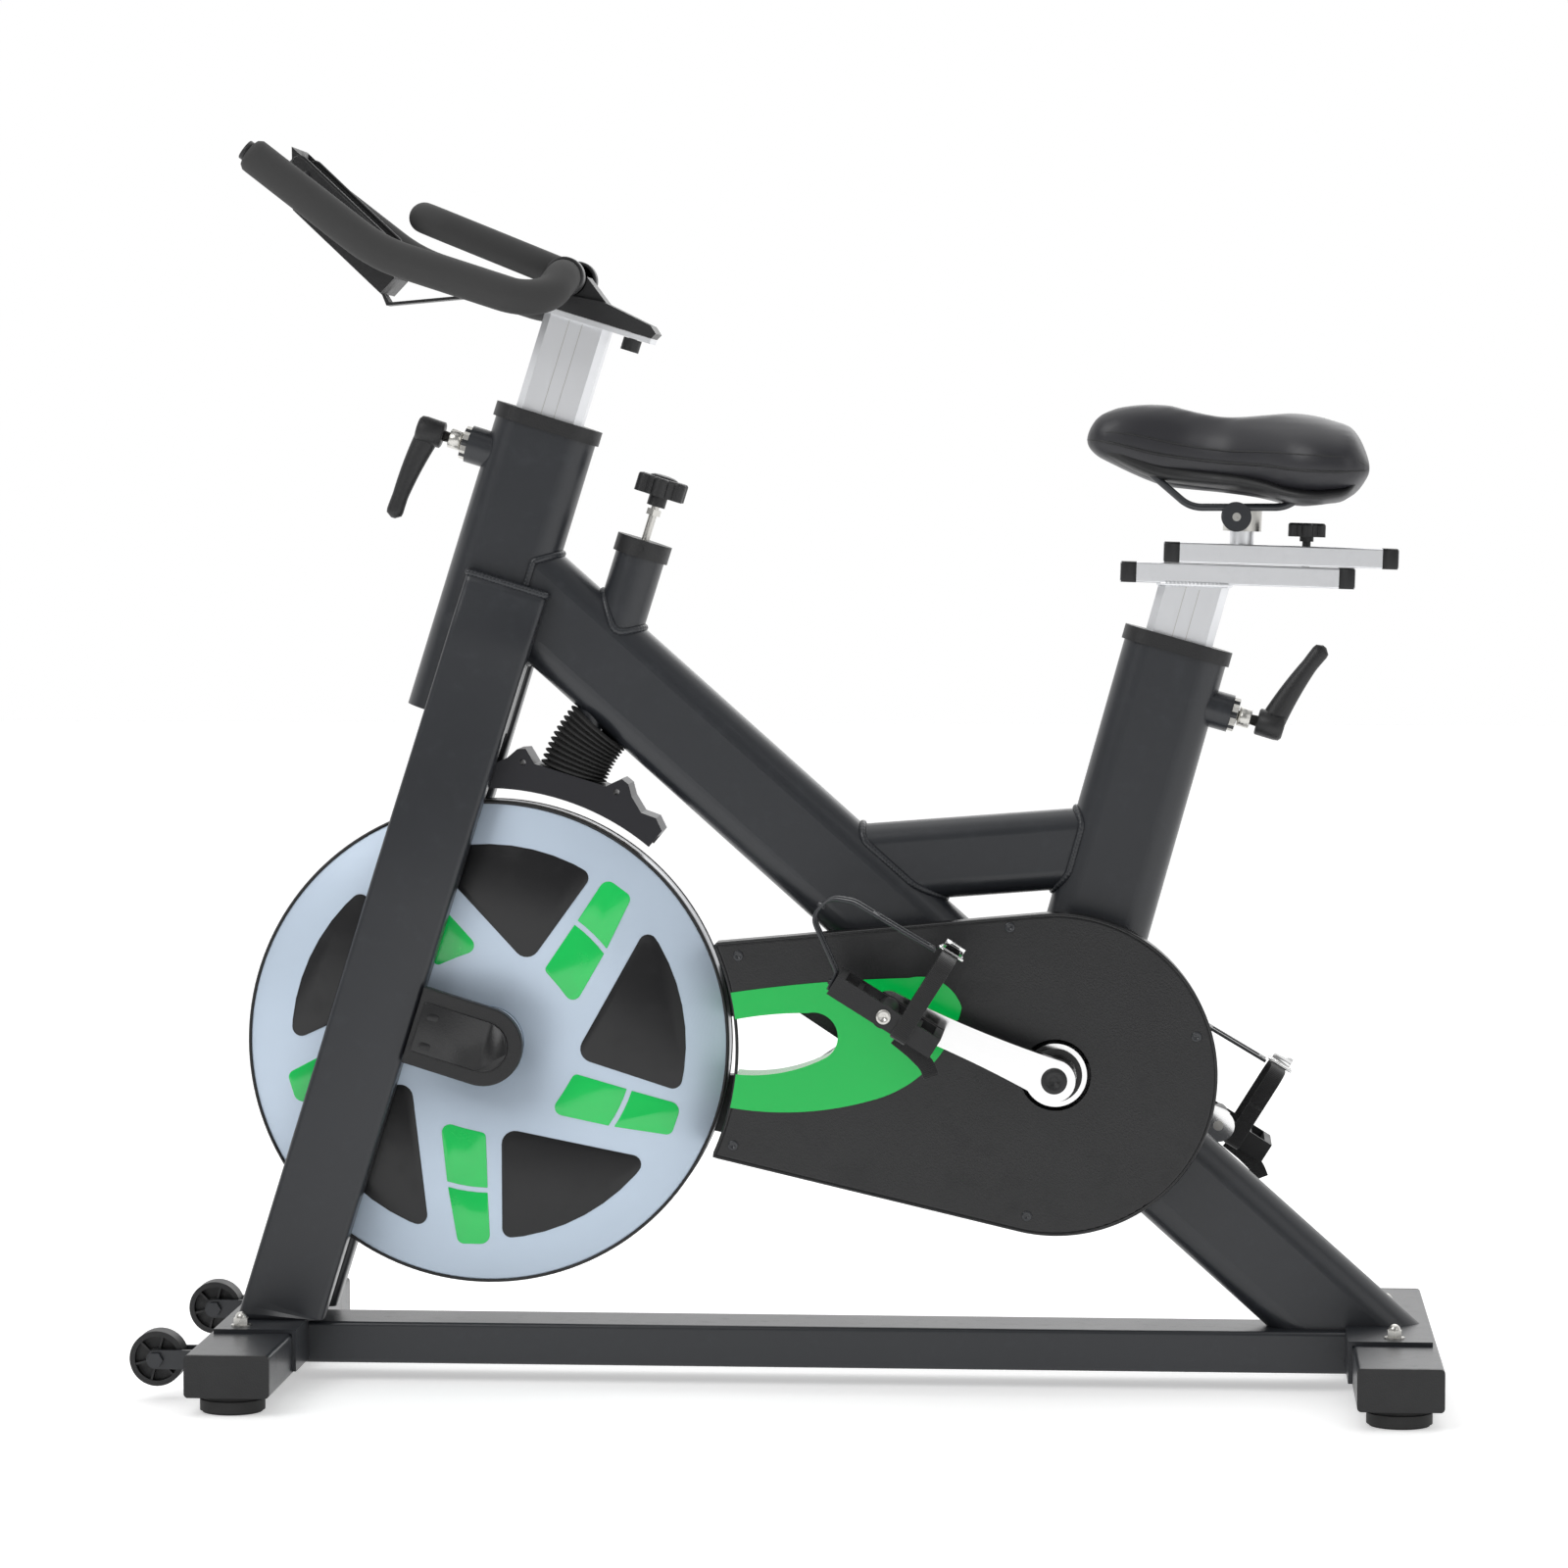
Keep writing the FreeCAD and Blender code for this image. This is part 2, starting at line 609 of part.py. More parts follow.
def fork_bar(stations, inset):
    """Bar lofted through rectangles, each at a distance up the leg, drawn in by inset all round."""
    rings = []
    for distance, inner, thickness in stations:
        base = fork_foot + head_up * distance
        half = head_back * (size("fork_width") / 2 - inset)
        low, high = inner + inset, inner + thickness - inset
        ring = [at_side(base - half, low), at_side(base + half, low),
                at_side(base + half, high), at_side(base - half, high)]
        rings.append(Part.makePolygon(ring + ring[:1]))
    stretches = [Part.makeLoft([low, high], True, True) for low, high in zip(rings, rings[1:])]
    return stretches[0].fuse(stretches[1:]).removeSplitter()


def make_fork_legs():
    """Box legs on both sides of the flywheel; above the knee they close in on the head tube."""
    top = (head_point(size("fork_top_drop")) - fork_foot).dot(head_up)
    inner = size("fork_gap") / 2
    thickness = size("fork_thickness")
    slim = size("fork_top_thickness")
    seat = size("tube_width") / 2
    stations = [(-30, inner, thickness), (size("fork_knee"), inner, thickness),
                (top - 110, seat + 1.2, slim + 4), (top, seat, slim)]
    leg = fork_bar(stations, 0).cut(fork_bar(stations, size("tube_wall")))
    below = Part.makeBox(400, 200, 200, Vector(fork_foot.x - 200, 0, plate_top - 200))
    right = plain(leg.cut(below))
    node("fork_legs", group(right, mirrored(right)))


def dropout(side):
    """Plate from the rear edge of a fork leg to the flywheel axle."""
    rise = (wheel_centre - fork_foot).dot(head_up)
    edge = fork_foot + head_up * rise + head_back * (size("fork_width") / 2)
    half = head_up * size("dropout_radius")
    round_end = wheel_centre + head_back * size("dropout_radius")
    wire = outline([edge - half, wheel_centre - half, (round_end, wheel_centre + half), edge + half])
    inner = size("dropout_inner")
    low = inner if side > 0 else -inner - size("dropout_thickness")
    plate = plain(slab(wire, low, low + size("dropout_thickness")))
    hole = cylinder("axle_radius", "dropout_thickness + 2", at_side(wheel_centre, low - 1))
    return cut(plate, hole)


def axle_cover(side):
    """Moulded cap over the axle nut, round at the back and square against the fork leg."""
    rise = (wheel_centre - fork_foot).dot(head_up)
    edge = fork_foot + head_up * rise + head_back * (size("fork_width") / 2 + 0.3)

    def shape(radius, start, low, high):
        half = head_up * radius
        tip = wheel_centre + head_back * radius
        wire = outline([start - half, wheel_centre - half, (tip, wheel_centre + half), start + half])
        return slab(wire, low, high)

    wall = size("axle_cover_wall")
    radius = size("axle_cover_radius")
    inner = size("dropout_inner") + size("dropout_thickness") + 0.2
    outer = inner + size("axle_cover_depth")
    shell = shape(radius, edge, inner, outer)
    face = [edge_ for edge_ in shell.Edges if abs(edge_.CenterOfMass.y - outer) < 0.01]
    shell = shell.makeFillet(1.8, face)
    hollow = shape(radius - wall, edge + head_back * wall, inner - 1, outer - wall)
    cover = plain(shell.cut(hollow))
    return cover if side > 0 else mirrored(cover)


def clamp_frame(which):
    """Start point and outward direction of a clamp lever's axis."""
    if which == "head":
        return head_point(size("head_clamp_drop")), head_back * -1
    return seat_top - seat_up * size("seat_clamp_drop"), seat_back


def clamp_hole(which):
    """Hole through a tube's wall for the clamp screw."""
    centre, out = clamp_frame(which)
    return cylinder("lever_rod_radius + 0.4", "tube_depth / 2 + 5", centre, out)


def clamp_boss(which):
    """Round boss welded on a tube, with the hexagonal nut that takes the clamp screw."""
    centre, out = clamp_frame(which)
    start = centre + out * (size("tube_depth") / 2 - 8)
    boss = cylinder("boss_radius", "boss_depth + 8", start, out)
    face = centre + out * (size("tube_depth") / 2 + size("boss_depth"))
    nut = hexagon("boss_radius * 1.5", "6", face, out)
    bore = cylinder("lever_rod_radius + 0.05", "60", start - out * 5, out)
    axis, foot = (head_up, head_foot) if which == "head" else (seat_up, crank_centre)
    core = oval_bar("boss_core", "tube_depth", "tube_width",
                    "head_length" if which == "head" else "seat_rise", along(foot, axis))
    return cut(fuse(boss, nut), core, bore)


def post_outline(y_shift, extra):
    """Chamfered rectangle of the aluminium posts, grown all round by extra."""
    half_long = size("post_depth") / 2 + extra
    half_wide = size("post_width") / 2 + extra
    nick = size("post_chamfer")
    corners = [(half_wide, half_long - nick), (half_wide - nick, half_long),
               (nick - half_wide, half_long), (-half_wide, half_long - nick),
               (-half_wide, nick - half_long), (nick - half_wide, -half_long),
               (half_wide - nick, -half_long), (half_wide, nick - half_long)]
    ring = [Vector(x, y, y_shift) for x, y in corners]
    return Part.makePolygon(ring + ring[:1])


def post_bar(length, extra=0, start=0):
    """Straight bar of the post's section along local Z."""
    return Part.Face(post_outline(start, extra)).extrude(UP * length)


def collar(which, top, axis):
    """Plastic collar on a tube's mouth, with the sleeve that guides the aluminium post."""
    cap = oval_bar(which + "_collar", "tube_depth", "tube_width", "collar_height", along(top, axis),
                   inset="0 - collar_lip")
    sleeve = oval_bar(which + "_sleeve", "tube_depth", "tube_width", "collar_sleeve",
                      along(top - axis * size("collar_sleeve"), axis), inset="tube_wall + 0.2")
    window = plain(post_bar(size("collar_sleeve") + size("collar_height") + 2, size("fit"), -1))
    window.Placement = along(top - axis * size("collar_sleeve"), axis)
    return cut(fuse(cap, sleeve), window, clamp_hole(which))


# ---------------------------------------------------------------------------------------------------
# Flywheel
# ---------------------------------------------------------------------------------------------------
def disc(radius, thickness, centre, shift=0):
    """Cylinder across the machine, centred on the mid-plane unless shifted."""
    return cylinder(radius, thickness, at_side(centre, shift - amount(thickness) / 2))


def make_flywheel():
    """Heavy cast disc: thick rim, thinner web and a hub bored for two bearings."""
    rim = cut(disc("flywheel_radius", "flywheel_thickness", wheel_centre),
              disc("flywheel_radius - flywheel_rim", "60", wheel_centre))
    web = disc("flywheel_radius - flywheel_rim + 1", "flywheel_web", wheel_centre)
    hub = disc("hub_radius", "flywheel_thickness + 4", wheel_centre)
    bore = disc("axle_radius + 2", "100", wheel_centre)
    seats = []
    for side in (-1, 1):
        centre = side * (size("flywheel_thickness") / 2 + 2 - size("bearing_width") / 2)
        seats.append(disc("bearing_radius", "bearing_width", wheel_centre, centre))
    return node("flywheel", cut(fuse(rim, web, hub), bore, *seats))


def make_flywheel_bearings():
    """Two sealed ball bearings in the flywheel's hub."""
    rings = []
    for side in (-1, 1):
        centre = side * (size("flywheel_thickness") / 2 + 2 - size("bearing_width") / 2)
        ring = cut(disc("bearing_radius", "bearing_width", wheel_centre, centre),
                   disc("axle_radius + 0.05", "bearing_width", wheel_centre, centre))
        rings.append(ring)
    return node("flywheel_bearings", group(*rings))


def make_flywheel_axle():
    """Threaded axle between the two dropouts, with a nut and a spacer on each side."""
    start = at_side(wheel_centre, -size("axle_length") / 2)
    parts = [cylinder("axle_radius", "axle_length", start)]
    for side in (-1, 1):
        outside = size("dropout_inner") + size("dropout_thickness")
        nut = hexagon("18", "6.5", at_side(wheel_centre, side * outside), Vector(0, side, 0),
                      Vector(1, 0, 0))
        parts.append(nut)
        inside = at_side(wheel_centre, side * (size("dropout_inner") - 1.5))
        parts.append(cylinder("axle_radius + 3", "1.5", inside, Vector(0, side, 0)))
    return node("flywheel_axle", fuse(*parts))


def toothed_disc(teeth, bore):
    """Roller-chain wheel: teeth stand between the chain's plates; bore is its inner radius."""
    count = int(size(teeth))
    radius = size("chain_pitch") / (2 * math.sin(math.pi / count))
    width = size("tooth_thickness")
    shape = Part.makeCylinder(radius - 3.2, width, Vector(0, -width / 2, 0), ROUND)
    for tooth in range(count):
        middle = direction(360 * (tooth + 0.5) / count)
        across = Vector(-middle.z, 0, middle.x)
        ring = [middle * (radius - 6) - across * 3.6, middle * (radius + 3) - across * 1.1,
                middle * (radius + 3) + across * 1.1, middle * (radius - 6) + across * 3.6]
        shape = shape.fuse(slab(Part.makePolygon(ring + ring[:1]), -width / 2, width / 2))
    hole = Part.makeCylinder(bore, width + 2, Vector(0, -width / 2 - 1, 0), ROUND)
    return shape.cut(hole)


def make_sprocket():
    """Fixed cog on the flywheel's right side, on a carrier tube."""
    cog = plain(toothed_disc("sprocket_teeth", size("axle_radius") + 4))
    cog.Placement.Base = at_side(wheel_centre, size("chain_plane"))
    low = size("flywheel_thickness") / 2 + 2
    start = at_side(wheel_centre, low)
    carrier = cylinder("axle_radius + 9", "chain_plane - flywheel_thickness / 2 - 2 + 3", start)
    bore = cylinder("axle_radius + 4", "60", start - ROUND)
    return node("flywheel_sprocket", fuse(cut(carrier, bore), cog))


def chain_radius(teeth):
    """Pitch radius of a chain wheel."""
    return size("chain_pitch") / (2 * math.sin(math.pi / size(teeth)))


def chain_loop(offset):
    """Belt-shaped outline round both chain wheels, moved outwards from the pitch line."""
    big = chain_radius("chainring_teeth") + offset
    small = chain_radius("sprocket_teeth") + offset
    line = crank_centre - wheel_centre
    base = math.degrees(math.atan2(line.z, line.x))
    lean = math.degrees(math.acos((big - small) / line.Length))
    up, down = direction(base + 180 - lean), direction(base + 180 + lean)
    ahead, behind = direction(base), direction(base + 180)
    return outline([wheel_centre + up * small, (wheel_centre + behind * small,
                    wheel_centre + down * small), crank_centre + down * big,
                    (crank_centre + ahead * big, crank_centre + up * big)])


def make_chain():
    """Roller chain as its two rows of side plates, which run either side of the teeth."""
    half = size("chain_width") / 2
    plane = size("chain_plane")
    rows = []
    for low, high in ((plane - half, plane - half + 1.8), (plane + half - 1.8, plane + half)):
        outer = slab(chain_loop(size("chain_half")), low, high)
        inner = slab(chain_loop(-size("chain_half")), low - 1, high + 1)
        rows.append(plain(outer.cut(inner)))
    return node("drive_chain", group(*rows))


def case_loop(offset):
    """Outline of the chain case round the chain, moved inwards by offset."""
    big = size("chain_case_radius") - offset
    small = size("chain_case_nose") - offset
    line = crank_centre - wheel_centre
    base = math.degrees(math.atan2(line.z, line.x))
    lean = math.degrees(math.acos((big - small) / line.Length))
    up, down = direction(base + 180 - lean), direction(base + 180 + lean)
    return outline([wheel_centre + up * small, (wheel_centre + direction(base + 180) * small,
                    wheel_centre + down * small), crank_centre + down * big,
                    (crank_centre + direction(base) * big, crank_centre + up * big)])


def case_window(offset):
    """Window of the chain case between the two runs of the chain, grown by offset."""
    front = Vector(-178, 0, 328)
    corners = [Vector(-66, 0, 348), Vector(4, 0, 353), Vector(48, 0, 324), Vector(4, 0, 294),
               Vector(-66, 0, 291), front]
    middle = Vector(-50, 0, 322)
    grown = [point + (point - middle).normalize() * offset for point in corners]
    return Part.makePolygon(grown + grown[:1])


def make_chain_case():
    """Slim closed case round the chain, open between the chain's two runs."""
    low = size("chain_case_inner")
    high = low + size("chain_case_depth")
    wall = size("chain_case_wall")
    shell = slab(case_loop(0), low, high).cut(slab(case_window(0), low - 1, high + 1))
    hollow = slab(case_loop(wall), low + wall, high - wall)
    hollow = hollow.cut(slab(case_window(wall), low, high))
    shell = shell.cut(hollow)
    holes = [Part.makeCylinder(size("shell_radius") + 1.5, 60, at_side(crank_centre, 0), ROUND),
             Part.makeCylinder(size("axle_radius") + 10.5, 60, at_side(wheel_centre, 0), ROUND)]
    return node("chain_case", plain(shell.cut(Part.makeCompound(holes))))


# ---------------------------------------------------------------------------------------------------
# Cranks
# ---------------------------------------------------------------------------------------------------
def make_bearing_cups():
    """Bright bearing cups in both ends of the bottom-bracket shell."""
    cups = []
    for side in (-1, 1):
        end = size("shell_length") / 2
        outward = Vector(0, side, 0)
        inside = cylinder("shell_radius - cup_wall", "14", at_side(crank_centre, side * (end - 14)),
                          outward)
        length = "cover_face + 1 - shell_length / 2" if side < 0 else "3.5"
        flange = cylinder("shell_radius + 1", length, at_side(crank_centre, side * end), outward)
        bore = cylinder("spindle_radius + 0.06", "60", at_side(crank_centre, side * (end - 15)), outward)
        cups.append(cut(fuse(inside, flange), bore))
    return node("bearing_cups", group(*cups))


def make_spindle():
    """Crank spindle through the bottom bracket."""
    start = at_side(crank_centre, -size("crank_plane"))
    return node("crank_spindle", cylinder("spindle_radius", "2 * crank_plane", start))


def crank_eye(side):
    """Centre of a crank's pedal eye in the side view; the right crank points the other way."""
    turn = size("crank_angle") + (180 if side > 0 else 0)
    return crank_centre + direction(turn) * size("crank_length")


def make_crank_arm(label, side):
    """Forged arm, waisted between its boss and its pedal eye."""
    eye = crank_eye(side)
    run = (eye - crank_centre).normalize()
    across = Vector(-run.z, 0, run.x)
    boss, tip = size("arm_boss_radius"), size("arm_eye_radius")
    waist = crank_centre + run * (size("crank_length") * 0.55)
    narrow = (boss + tip) / 2 - 3.5
    upper = [crank_centre + across * boss, waist + across * narrow, eye + across * tip]
    lower = [eye - across * tip, waist - across * narrow, crank_centre - across * boss]
    wire = outline([upper[0], (upper[1], upper[2]), (eye + run * tip, lower[0]),
                    (lower[1], lower[2]), (crank_centre - run * boss, upper[0])])
    plane = side * size("crank_plane")
    half = size("arm_thickness") / 2
    blade = slab(wire, plane - half, plane + half)
    depth = size("arm_boss_depth")
    inner = plane - side * (depth - half)
    hub = Part.makeCylinder(boss - 1, depth - half, at_side(crank_centre, min(inner, plane)), ROUND)
    hole = Part.makeCylinder(size("spindle_radius"), 60, at_side(crank_centre, plane - 30), ROUND)
    eye_hole = Part.makeCylinder(size("pedal_spindle_radius"), 60, at_side(eye, plane - 30), ROUND)
    return node(label, plain(blade.fuse(hub).cut(hole).cut(eye_hole)))


def make_chainring():
    """Large chain wheel with five arms, fixed to the right side of the spindle."""
    ring = toothed_disc("chainring_teeth", size("spindle_radius"))
    for spoke in range(5):
        centre = direction(72 * spoke + 36) * 58
        ring = ring.cut(Part.makeCylinder(24, 10, centre - ROUND * 5, ROUND))
    plate = plain(ring)
    plate.Placement.Base = at_side(crank_centre, size("chain_plane"))
    return node("chainring", plate)


# ---------------------------------------------------------------------------------------------------
# Side cover on the left
# ---------------------------------------------------------------------------------------------------
def cover_outline():
    """Round behind the crank, closing to a concave front edge that follows the flywheel's rim."""
    radius = size("flywheel_radius") + size("cover_front_gap")
    top = wheel_centre + direction(24.1) * radius
    low = wheel_centre + direction(-24.9) * radius
    touch_top = tangent_point(top, crank_centre, size("cover_radius"), -1)
    touch_low = tangent_point(low, crank_centre, size("cover_radius"), 1)
    back = crank_centre + direction(0) * size("cover_radius")
    return outline([top, (wheel_centre + direction(0) * radius, low), touch_low, (back, touch_top)])


def insert_outline():
    """Outer outline of the coloured insert in the side cover, open to the front."""
    corners = [Vector(-75, 0, 380), Vector(-53, 0, 381), (Vector(30, 0, 391), Vector(116, 0, 396)),
               (Vector(150, 0, 390), Vector(166, 0, 368)),
               (Vector(139, 0, 315), Vector(80, 0, 279)), (Vector(20, 0, 268), Vector(-54, 0, 271)),
               Vector(-75, 0, 271.4)]
    return outline(corners)


def insert_opening(shift):
    """Through-opening inside the insert; shift grows it outwards."""
    corners = [Vector(-90, 0, 355.5 + shift), Vector(-49, 0, 355.5 + shift),
               (Vector(-14, 0, 360.5 + shift), Vector(20, 0, 362 + shift)),
               (Vector(47 + shift, 0, 347), Vector(34, 0, 318 - shift)),
               (Vector(0, 0, 306 - shift), Vector(-53, 0, 303.5 - shift)),
               Vector(-90, 0, 303.5 - shift)]
    return outline(corners)


def make_side_cover():
    """Deep moulded shell over the crank's bearing, cut away for the insert."""
    face, back, wall = -size("cover_face"), -size("cover_back"), size("cover_wall")
    shell = slab(cover_outline(), face, back)
    rim = [edge for edge in shell.Edges if abs(edge.CenterOfMass.y - face) < 0.01]
    shell = shell.makeFillet(3, rim)
    inside = cover_outline().makeOffset2D(-wall)
    shell = shell.cut(slab(inside, face + wall, back + 1))
    shell = shell.cut(slab(insert_outline(), face - 1, back + 1))
    hole = Part.makeCylinder(size("cover_hole_radius"), 10, at_side(crank_centre, face - 5), ROUND)
    return node("side_cover", plain(shell.cut(hole)))


def make_cover_insert():
    """Glossy horseshoe insert, with a wall round its through-opening."""
    face, back, wall = -size("cover_face") - 1, -size("cover_back"), size("cover_wall")
    plate = slab(insert_outline(), face, face + wall + 1)
    tunnel = slab(insert_opening(wall), face, back)
    limit = slab(cover_outline(), face - 1, back + 1)
    shape = plate.fuse(tunnel).common(limit)
    shape = shape.cut(slab(insert_opening(0), face - 2, back + 2))
    return node("cover_insert", plain(shape))


# ---------------------------------------------------------------------------------------------------
# Pedals
# ---------------------------------------------------------------------------------------------------
pedal_run = direction(-size("pedal_tilt"))
pedal_up = direction(90 - size("pedal_tilt"))


def pedal_point(side, back, rise, y=0):
    """Point on a pedal: behind and above its spindle, at a distance from the mid-plane."""
    return at_side(crank_eye(side) + pedal_run * back + pedal_up * rise, y)


def pedal_slab(side, corners, y_low, y_high):
    """Solid between two distances from the mid-plane, outlined on the pedal's own axes."""
    ring = [pedal_point(side, back, rise) for back, rise in corners]
    low, high = sorted((side * y_low, side * y_high))
    return slab(Part.makePolygon(ring + ring[:1]), low, high)


def rectangle(back, rise, length, height):
    """Corners of a rectangle on the pedal's own axes, about its middle."""
    return [(back - length / 2, rise - height / 2), (back + length / 2, rise - height / 2),
            (back + length / 2, rise + height / 2), (back - length / 2, rise + height / 2)]


def pedal_spindle(side):
    """Steel spindle screwed into the crank's eye, with its wrench flats."""
    eye = crank_eye(side)
    outward = Vector(0, side, 0)
    start = at_side(eye, side * (size("crank_plane") - size("arm_thickness") / 2))
    rod = cylinder("pedal_spindle_radius", "pedal_inner - crank_plane + arm_thickness / 2 + pedal_width - 5",
                   start, outward)
    flats = hexagon("15", "pedal_inner - crank_plane - arm_thickness / 2 - 0.6",
                    at_side(eye, side * (size("crank_plane") + size("arm_thickness") / 2)), outward,
                    Vector(1, 0, 0))
    return fuse(rod, flats)


def make_pedal(label, side):
    """Platform: barrel on the spindle, two side plates, front and rear bars and toothed slats."""
    inner, width = size("pedal_inner"), size("pedal_width")
    length, depth, plate = size("pedal_length"), size("pedal_depth"), size("pedal_plate")
    outer = inner + width
    low = min(side * inner, side * outer)
    barrel = Part.makeCylinder(size("pedal_barrel_radius"), width, at_side(crank_eye(side), low), ROUND)
    parts = []
    for start in (inner, outer - plate):
        parts.append(pedal_slab(side, rectangle(0, 0, length, depth), start, start + plate))
    for back in (-length / 2 + 4, length / 2 - 4):
        parts.append(pedal_slab(side, rectangle(back, 0, 8, depth), inner, outer))
    for back in (-32, 32):
        parts.append(pedal_slab(side, rectangle(back, 0, 5, depth - 4), inner, outer))
    middle = inner + width / 2
    parts.append(pedal_slab(side, rectangle(0, 0, length, depth - 8), middle - 3, middle + 3))
    shape = barrel.fuse(parts)
    bore = Part.makeCylinder(size("pedal_spindle_radius") + 0.05, width - 3.5,
                             at_side(crank_eye(side), min(side * (inner - 1), side * (outer - 4.5))),
                             ROUND)
    return node(label, plain(shape.cut(bore).removeSplitter()))


def toe_clip(side):
    """Sprung clip that starts at the platform's front bar and arches back over the toe."""
    middle = size("pedal_inner") + size("pedal_width") / 2
    front = -size("pedal_length") / 2
    outer = [(front, -8), (front - 4, 6), (-106, 36), (-108, 50), (-98, 66), (-82, 73), (9, 75)]
    inner = [(9, 72), (-81, 70), (-95.5, 64), (-105, 49), (-103, 38), (front - 0.2, 9), (front, -8)]
    ring = [pedal_point(side, back, rise) for back, rise in outer + inner]
    low, high = sorted((side * (middle - 17), side * (middle + 17)))
    clip = slab(Part.makePolygon(ring), low, high)
    slot = pedal_slab(side, rectangle(-60, 72, 46, 12), middle - 6, middle + 6)
    return plain(clip.cut(slot))


def toe_strap(side):
    """Flat strap looped round the platform's side plates and over the clip."""
    inner, outer = size("pedal_inner"), size("pedal_inner") + size("pedal_width")
    thick, width = size("strap_thickness"), size("strap_width")
    height, back = size("strap_height"), size("strap_back")
    shape = pedal_slab(side, rectangle(back, height, width, thick), inner - thick - 0.3,
                       outer + thick + 0.3)
    for start in (inner - thick - 0.3, outer + 0.3):
        shape = shape.fuse(pedal_slab(side, rectangle(back, height / 2 - 6, width, height + 12),
                                      start, start + thick))
    under = pedal_slab(side, rectangle(back, -size("pedal_depth") / 2 - thick / 2 - 0.3, width, thick),
                       inner - thick - 0.3, outer + thick + 0.3)
    return plain(shape.fuse(under).removeSplitter())


def strap_buckle(side):
    """Sprung buckle on top of the strap."""
    middle = size("pedal_inner") + size("pedal_width") * 0.36
    level = size("strap_height") + size("strap_thickness") / 2 + 0.2
    back = size("strap_back")
    frame = pedal_slab(side, rectangle(back, level + 2.5, 26, 5), middle - 13, middle + 13)
    gap = pedal_slab(side, rectangle(back, level + 3.5, 16, 8), middle - 9, middle + 5)
    lip = pedal_slab(side, rectangle(back, level + 7, 22, 9), middle + 9, middle + 12)
    return plain(frame.cut(gap).fuse(lip))


# ---------------------------------------------------------------------------------------------------
# Brake
# ---------------------------------------------------------------------------------------------------
beam_crossing = (meet(brake_point(0), head_up, beam_start, beam_run) - wheel_centre).dot(head_up)
guide_low = beam_crossing - 66


def make_brake_tube():
    """Tube welded on the beam for the brake spring, with the rod's guide through the beam."""
    top = size("brake_cap_top") - size("brake_cap_height")
    tube = cylinder("brake_tube_radius", "%f" % (top - beam_crossing), brake_point(beam_crossing),
                    head_up)
    outside = cut(tube, beam_core())
    guide = cylinder("guide_radius", "%f" % (top - 50 - guide_low), brake_point(guide_low), head_up)
    spring_room = cylinder("brake_tube_bore", "60", brake_point(top - 44), head_up)
    bore = cylinder("rod_radius + 0.06", "300", brake_point(guide_low - 10), head_up)
    return node("brake_tube", cut(fuse(outside, guide), spring_room, bore))


def make_brake_cap():
    """Plastic cap on the brake tube, with the rod's hole through it and a retaining screw."""
    low = size("brake_cap_top") - size("brake_cap_height")
    cap = cylinder("brake_cap_radius", "brake_cap_height", brake_point(low), head_up)
    hole = cylinder("rod_neck_radius + 0.06", "40", brake_point(low - 2), head_up)
    side = at_side(brake_point(low + size("brake_cap_height") / 2), -size("brake_cap_radius") + 1)
    screw = cylinder("3", "2.2", side, Vector(0, -1, 0))
    return node("brake_cap", fuse(cut(cap, hole), screw))


def make_brake_rod():
    """Push rod with its spring collar, and the plate that carries the shoe."""
    low = size("shoe_platform")
    cap_low = size("brake_cap_top") - size("brake_cap_height")
    collar = cap_low - 6
    thick = cylinder("rod_radius", "%f" % (collar - low), brake_point(low), head_up)
    flange = cylinder("brake_tube_bore - 1", "5", brake_point(collar), head_up)
    neck = cylinder("rod_neck_radius", "%f" % (size("knob_centre") - collar), brake_point(collar), head_up)
    nut = hexagon("13", "6", brake_point(size("knob_centre") - 28), head_up)
    return node("brake_rod", fuse(thick, flange, neck, nut))


def make_brake_spring():
    """Return spring between the guide's seat and the rod's collar."""
    top = size("brake_cap_top") - size("brake_cap_height")
    low, high = top - 44 + 2.2, top - 6 - 2.2
    turns = 5
    helix = Part.makeHelix((high - low) / turns, high - low, 13.5)
    ring = Part.Wire([Part.Circle(Vector(13.5, 0, 0), Vector(0, 1, 0.15), 1.5).toShape()])
    coil = helix.makePipeShell([ring], True, True)
    item = plain(coil)
    item.Placement = along(brake_point(low), head_up)
    return node("brake_spring", item)


def lobed_knob(radius, height, start, axis, bore, neck):
    """Star knob with six lobes, a domed edge and a neck below, round an axis."""
    count = 6
    shape = Part.makeCylinder(radius * 0.78, height)
    for lobe in range(count):
        angle = 2 * math.pi * lobe / count
        centre = Vector(radius * 0.72 * math.cos(angle), radius * 0.72 * math.sin(angle), 0)
        shape = shape.fuse(Part.makeCylinder(radius * 0.28, height, centre))
    shape = shape.removeSplitter()
    edges = [edge for edge in shape.Edges if abs(edge.CenterOfMass.z - height) < 0.01]
    shape = shape.makeFillet(min(2.5, height * 0.2), edges)
    shape = shape.fuse(Part.makeCylinder(radius * 0.34, neck + 1, Vector(0, 0, -neck)))
    if bore:
        shape = shape.cut(Part.makeCylinder(bore, neck + height * 0.6 + 1, Vector(0, 0, -neck - 1)))
    item = plain(shape)
    item.Placement = along(start, axis)
    return item


def make_brake_knob():
    """Star knob at the top of the brake rod."""
    start = brake_point(size("knob_centre") - size("knob_height") / 2)
    knob = lobed_knob(size("knob_radius"), size("knob_height"), start, head_up,
                      size("rod_neck_radius") + 0.05, 10)
    return node("brake_knob", knob)


